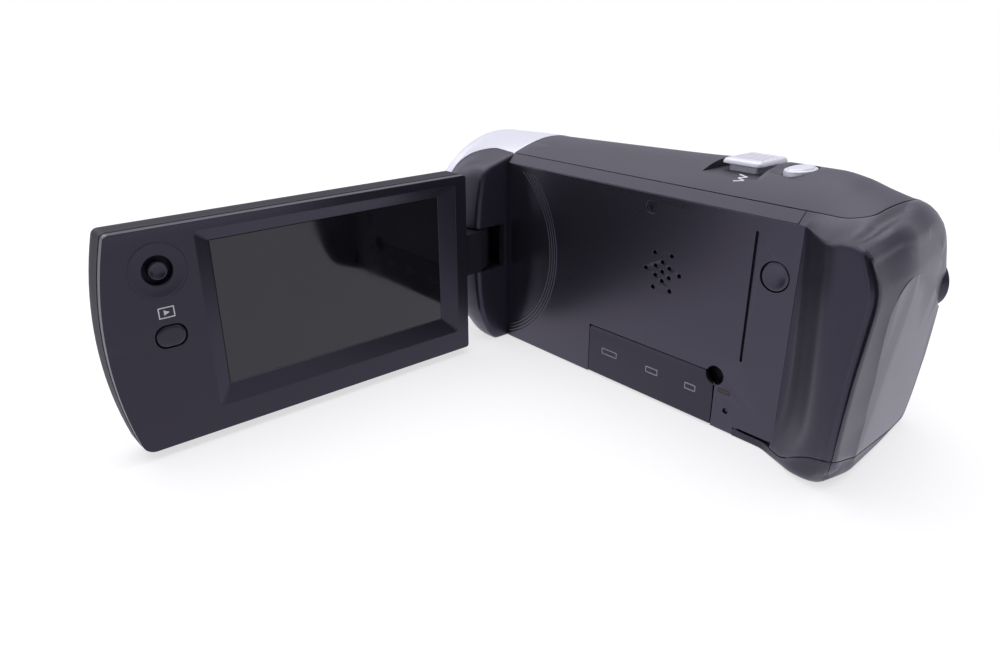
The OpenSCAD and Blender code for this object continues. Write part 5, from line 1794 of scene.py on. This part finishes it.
    def selector(self) -> None:
        """Builds the dished cap on its stem and ball."""
        u, v = self.stick
        profile = [(0.001, 0.34), (0.7, 0.31), (1.2, 0.2), (1.5, 0.06), (1.68, 0.0), (1.86, 0.06),
                   (1.96, 0.25), (1.93, 1.1), (1.8, 1.35), (1.0, 1.4), (0.9, 1.5), (0.9, 2.7)]
        for k in range(9):
            a = math.radians(-50 + 140 * k / 8)
            profile.append((max(1.4 * math.cos(a), 0.001), 3.7 + 1.4 * math.sin(a)))
        made = lathe("selector_stick_made", profile, 48,
                     lambda a, b, h: self.place(u + a, v + b, h))
        weld(made)
        shade(made, 35)
        self.shop.deliver(made, Dress.KEY, "selector_stick")

    def view_key(self) -> None:
        """Builds the oval button below the selector."""
        u, v = self.key
        rows = [(2.9, 0.0), (2.3, 0.0), (0.35, 0.0), (0.1, 0.1), (-0.05, 0.35), (-0.12, 0.8),
                (-0.14, 1.5)]
        made = bar("view_button_made", rounded_rect(u - 3.1, v - 2.35, u + 3.1, v + 2.35, 2.2, 10),
                   self.place, rows)
        shade(made, 35)
        self.shop.deliver(made, Dress.KEY, "view_button")

    def icons(self) -> None:
        """Prints the play mark between the selector and the oval button."""
        u, v = self.icon
        d = -0.012
        frame = plate("icon", rounded_rect(u - 1.68, v - 1.22, u + 1.68, v + 1.22, 0.1, 2),
                      [rounded_rect(u - 1.44, v - 0.98, u + 1.44, v + 0.98, 0.05, 2)], 0.03, 0.004,
                      lambda a, b, h: self.place(a, b, h + d))
        arrow = plate("icon2", [(u + 0.55, v + 0.6), (u + 0.55, v - 0.6), (u - 0.65, v)], [], 0.03,
                      0.004, lambda a, b, h: self.place(a, b, h + d))
        whole = join("panel_marks", [self.shop.dress(p, Dress.INK) for p in (frame, arrow)])
        self.shop.attach(whole, Dress.INK, "panel_bezel")


# --- Hand belt ---


@dataclass
class HandBelt:
    """Nylon belt stretched between its anchors, with a padded sleeve inside it."""

    shop: Workshop
    centre_x: float = -28.44
    centre_y: float = -4.0
    radius: float = 68.04
    thickness: float = 1.6
    width: float = 20.0
    z: float = 29.0
    ends: Pair = (-42.9, 34.9)

    def at(self, radius: float, angle: float, z: float) -> Point:
        """Returns a point on the belt's arc."""
        return (self.centre_x + radius * math.cos(angle), self.centre_y + radius * math.sin(angle), z)

    def build(self) -> None:
        """Builds the belt and the pad."""
        self.belt()
        self.pad()

    def belt(self) -> None:
        """Builds the webbing with its rolled selvages."""
        a0, a1 = (math.asin((y - self.centre_y) / self.radius) for y in self.ends)
        length = 90
        half = self.width / 2
        t = self.thickness
        lap = 0.4
        section = [(0.0, -half + lap), (0.35, -half), (t - 0.35, -half), (t, -half + lap)]
        inner = self.width - 0.8
        section += [(t + 0.02 * math.sin(k), -half + lap + inner * k / 12) for k in range(1, 12)]
        section += [(t, half - lap), (t - 0.35, half), (0.35, half), (0.0, half - lap)]
        section += [(0.0, half - lap - inner * k / 12) for k in range(1, 12)]
        points = []
        for k in range(length + 1):
            a = a0 + (a1 - a0) * k / length
            for r, z in section:
                points.append(self.at(self.radius + r, a, self.z + z))
        made = mesh_object("hand_belt_made", points, capped(length + 1, len(section)))
        shade(made, 50)
        self.shop.deliver(made, Dress.WEB, "hand_belt")

    def pad(self) -> None:
        """Inflates the knitted sleeve with a cloth simulation."""
        a0 = math.asin(-23.6 / self.radius)
        a1 = -a0
        inner, outer = self.radius - 3.6, self.radius - 0.35
        half = 14.0
        steps, across = 44, 24
        heights = [self.z + (-half + 2 * half * j / across) for j in range(across + 1)]
        points = []
        for k in range(steps + 1):
            a = a0 + (a1 - a0) * k / steps
            points += [self.at(outer, a, z) for z in heights]
            points += [self.at(inner, a, z) for z in reversed(heights)]
        made = self.inflate(mesh_object("belt_pad_made", points, capped(steps + 1, 2 * (across + 1))))
        self.shop.deliver(made, Dress.PAD, "belt_pad")

    def inflate(self, piece: Piece) -> Piece:
        """Swells a closed piece with cloth pressure and caps how far its points move.

        Args:
            piece: the closed piece, a little smaller than the padded one.

        Returns:
            The swollen, subdivided piece.
        """
        remesh = piece.modifiers.new("remesh", "REMESH")
        remesh.mode = "VOXEL"
        remesh.voxel_size = 1.3 * MM
        bake(piece)
        rest = np.array([v.co[:] for v in piece.data.vertices])
        cloth = piece.modifiers.new("cloth", "CLOTH")
        cloth.settings.use_pressure = True
        cloth.settings.uniform_pressure_force = 4.0
        cloth.settings.effector_weights.gravity = 0.0
        cloth.settings.quality = 5
        scene = bpy.context.scene
        for frame in range(1, 13):
            scene.frame_set(frame)
        bake(piece)
        scene.frame_set(1)
        now = np.array([v.co[:] for v in piece.data.vertices])
        if len(now) == len(rest):
            move = now - rest
            size = np.linalg.norm(move, axis=1)
            cap = 0.9 * MM
            scale = np.where(size > cap, cap / np.maximum(size, 1e-12), 1.0)
            now = rest + move * scale[:, None]
            for vertex, co in zip(piece.data.vertices, now):
                vertex.co = co
        smooth = piece.modifiers.new("relax", "SMOOTH")
        smooth.factor = 0.5
        smooth.iterations = 3
        grow = piece.modifiers.new("fine", "SUBSURF")
        grow.levels = 1
        grow.render_levels = 1
        return shade(bake(piece), 60)


# --- Studio ---


@dataclass
class Studio:
    """A white sweep with soft light from above, and the camera."""

    focal_px: float = 775.628
    sensor_mm: float = 36.0
    eye: tuple[float, float, float] = (-157.306, -119.300, 91.748)
    right: tuple[float, float, float] = (0.75859, -0.65157, -0.00192)
    down: tuple[float, float, float] = (-0.25532, -0.29453, -0.92090)
    forward: tuple[float, float, float] = (0.59947, 0.69907, -0.38979)

    def camera(self) -> None:
        """Sets the camera."""
        data = bpy.data.cameras.new("camera")
        data.sensor_width = self.sensor_mm
        data.lens = self.focal_px / IMAGE_WIDTH * self.sensor_mm
        data.clip_start = 0.002
        data.clip_end = 20.0
        lens = linked("camera", data)
        turn = Matrix((self.right, [-c for c in self.down], [-c for c in self.forward])).transposed()
        lens.matrix_world = Matrix.Translation(Vector(self.eye) * MM) @ turn.to_4x4()
        bpy.context.scene.camera = lens

    def lamp(self, name: str, at: Point, to: Point, size: Pair, watts: float,
             colour: str) -> None:
        """Adds one soft rectangular light."""
        data = bpy.data.lights.new(name, "AREA")
        data.shape = "RECTANGLE"
        data.size, data.size_y = size
        data.energy = watts
        data.color = linear(colour)[:3]
        lamp = linked(name, data)
        aim = Vector(to) - Vector(at)
        lamp.rotation_euler = aim.to_track_quat("-Z", "Y").to_euler()
        lamp.location = Vector(at)

    def world(self) -> None:
        """Sets a pale surround, darker towards the camera's side, that the eye sees as white."""
        world = bpy.data.worlds.new("surround")
        bpy.context.scene.world = world
        world.use_nodes = True
        tree = world.node_tree
        tree.nodes.clear()
        path = add_node(tree, "ShaderNodeLightPath")
        where = add_node(tree, "ShaderNodeTexCoord")
        lean = add_node(tree, "ShaderNodeVectorMath",
                        {0: (where, "Generated"), 1: (-0.42, -0.90, 0.1)}, operation="DOT_PRODUCT")
        dark = add_node(tree, "ShaderNodeMapRange",
                        {"Value": (lean, "Value"), "From Min": 0.55, "From Max": 0.88, "To Min": 0.8,
                         "To Max": 0.1}, interpolation_type="SMOOTHSTEP")
        soft = add_node(tree, "ShaderNodeBackground",
                        {"Color": linear("f1eefc"), "Strength": (dark, "Result")})
        seen = add_node(tree, "ShaderNodeBackground", {"Color": (1.0, 1.0, 1.0, 1.0), "Strength": 1.0})
        mix = add_node(tree, "ShaderNodeMixShader",
                       {"Fac": (path, "Is Camera Ray"), 1: (soft, "Background"),
                        2: (seen, "Background")})
        add_node(tree, "ShaderNodeOutputWorld", {"Surface": (mix, "Shader")})

    def floor(self) -> None:
        """Lays the pale floor."""
        size = 3000.0
        points = [(-size, -size, 0), (size, -size, 0), (size, size, 0), (-size, size, 0)]
        made = mesh_object("floor", points, [(0, 1, 2, 3)])
        finish = bpy.data.materials.new("paper_sweep")
        finish.use_nodes = True
        tree = finish.node_tree
        tree.nodes.clear()
        place = add_node(tree, "ShaderNodeTexCoord")
        tooth = add_node(tree, "ShaderNodeTexNoise",
                         {"Vector": (place, "Object"), "Scale": per_metre(2.0), "Detail": 3.0})
        tone = add_node(tree, "ShaderNodeMix",
                        {"Factor": (tooth, "Fac"), 6: linear("fafafc"), 7: linear("f4f4f7")},
                        data_type="RGBA")
        paper = add_node(tree, "ShaderNodeBsdfPrincipled", {"Roughness": 0.8})
        tree.links.new(tone.outputs[2], paper.inputs["Base Color"])
        white = add_node(tree, "ShaderNodeEmission", {"Strength": 1.0})
        away = add_node(tree, "ShaderNodeVectorMath", {0: (place, "Object")}, operation="LENGTH")
        fade = add_node(tree, "ShaderNodeMapRange",
                        {"Value": (away, "Value"), "From Min": 0.16, "From Max": 0.5, "To Min": 0.66,
                         "To Max": 1.0})
        seen = add_node(tree, "ShaderNodeMixShader",
                        {"Fac": (fade, "Result"), 1: (paper, "BSDF"), 2: (white, "Emission")})
        path = add_node(tree, "ShaderNodeLightPath")
        sharp = add_node(tree, "ShaderNodeMath",
                         {0: (path, "Is Camera Ray"), 1: (path, "Is Transmission Ray")},
                         operation="MAXIMUM")
        either = add_node(tree, "ShaderNodeMath",
                          {0: (sharp, "Value"), 1: (path, "Is Glossy Ray")}, operation="MAXIMUM")
        glow = add_node(tree, "ShaderNodeEmission", {"Color": linear("f6f3ff"), "Strength": 1.1})
        level = add_node(tree, "ShaderNodeMixShader",
                         {"Fac": (path, "Is Glossy Ray"), 1: (seen, "Shader"), 2: (glow, "Emission")})
        mix = add_node(tree, "ShaderNodeMixShader",
                       {"Fac": (either, "Value"), 1: (paper, "BSDF"), 2: (level, "Shader")})
        add_node(tree, "ShaderNodeOutputMaterial", {"Surface": (mix, "Shader")})
        made.data.materials.append(finish)

    def build(self) -> None:
        """Builds camera, surround, floor and lights."""
        self.camera()
        self.world()
        self.floor()
        self.lamp("overhead", (0.1, 0.15, 1.1), (0, 0, 0.02), (1.6, 1.6), 16.0, "ffffff")
        self.lamp("side", (-0.4, 1.2, 0.7), (0, 0, 0.03), (1.0, 0.7), 3.0, "f6f7ff")
        scene = bpy.context.scene
        scene.view_settings.view_transform = "Standard"
        scene.view_settings.look = "None"


# --- Assembly ---


KEPT: dict[str, Dress] = {
    "base_plate": Dress.BODY, "shutter_upper": Dress.GLOSS, "shutter_lower": Dress.GLOSS,
    "lens_barrel": Dress.INNER, "front_lens": Dress.LENS, "zoom_lens": Dress.LENS,
    "focus_lens": Dress.LENS, "lens_holders": Dress.INNER, "sensor_board": Dress.BOARD,
    "main_board": Dress.BOARD, "board_chips": Dress.CHIP, "heat_shield": Dress.SHEET,
    "jack_board": Dress.BOARD, "hdmi_socket": Dress.SHEET, "usb_socket": Dress.SHEET,
    "card_slot": Dress.SHEET, "speaker": Dress.SHEET, "speaker_mesh": Dress.MESH,
    "microphones": Dress.SHEET, "door_pins": Dress.STEEL, "reset_button": Dress.KEY,
    "access_lamp": Dress.LAMP, "control_board": Dress.BOARD, "control_switches": Dress.SHEET,
    "battery_case": Dress.INNER, "battery_pack": Dress.CELL, "battery_contacts": Dress.BRASS,
    "hinge_pin": Dress.STEEL, "screen_module": Dress.SHEET, "tilt_bracket": Dress.SHEET,
    "selector_ring": Dress.SHEET, "tripod_socket": Dress.STEEL,
}

ROUNDED: dict[str, tuple[Dress, float]] = {
    "cover_switch": (Dress.KEY, 0.2), "record_button": (Dress.KEY, 0.2),
    "record_collar": (Dress.BODY, 0.2), "battery_latch": (Dress.KEY, 0.12),
    "case_screws": (Dress.KEY, 0.06), "belt_anchors": (Dress.BODY, 0.5),
    "hinge_block": (Dress.KEY, 0.35), "tilt_shaft": (Dress.STEEL, 0.1),
}


def main() -> None:
    """Builds the scene in order."""
    logging.basicConfig(level=logging.WARNING)
    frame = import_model()
    shop = Workshop(frame)
    Studio().build()
    Mouldings(shop).build()
    SidePanel(shop).build()
    TopControls(shop).build()
    Front(shop).build()
    ScreenPanel(shop).build()
    HandBelt(shop).build()
    for node, (dress, width) in ROUNDED.items():
        shop.machined(node, dress, width)
    for node, dress in KEPT.items():
        shop.dress(frame["nodes"][node], dress)


if __name__ == "__main__":
    main()
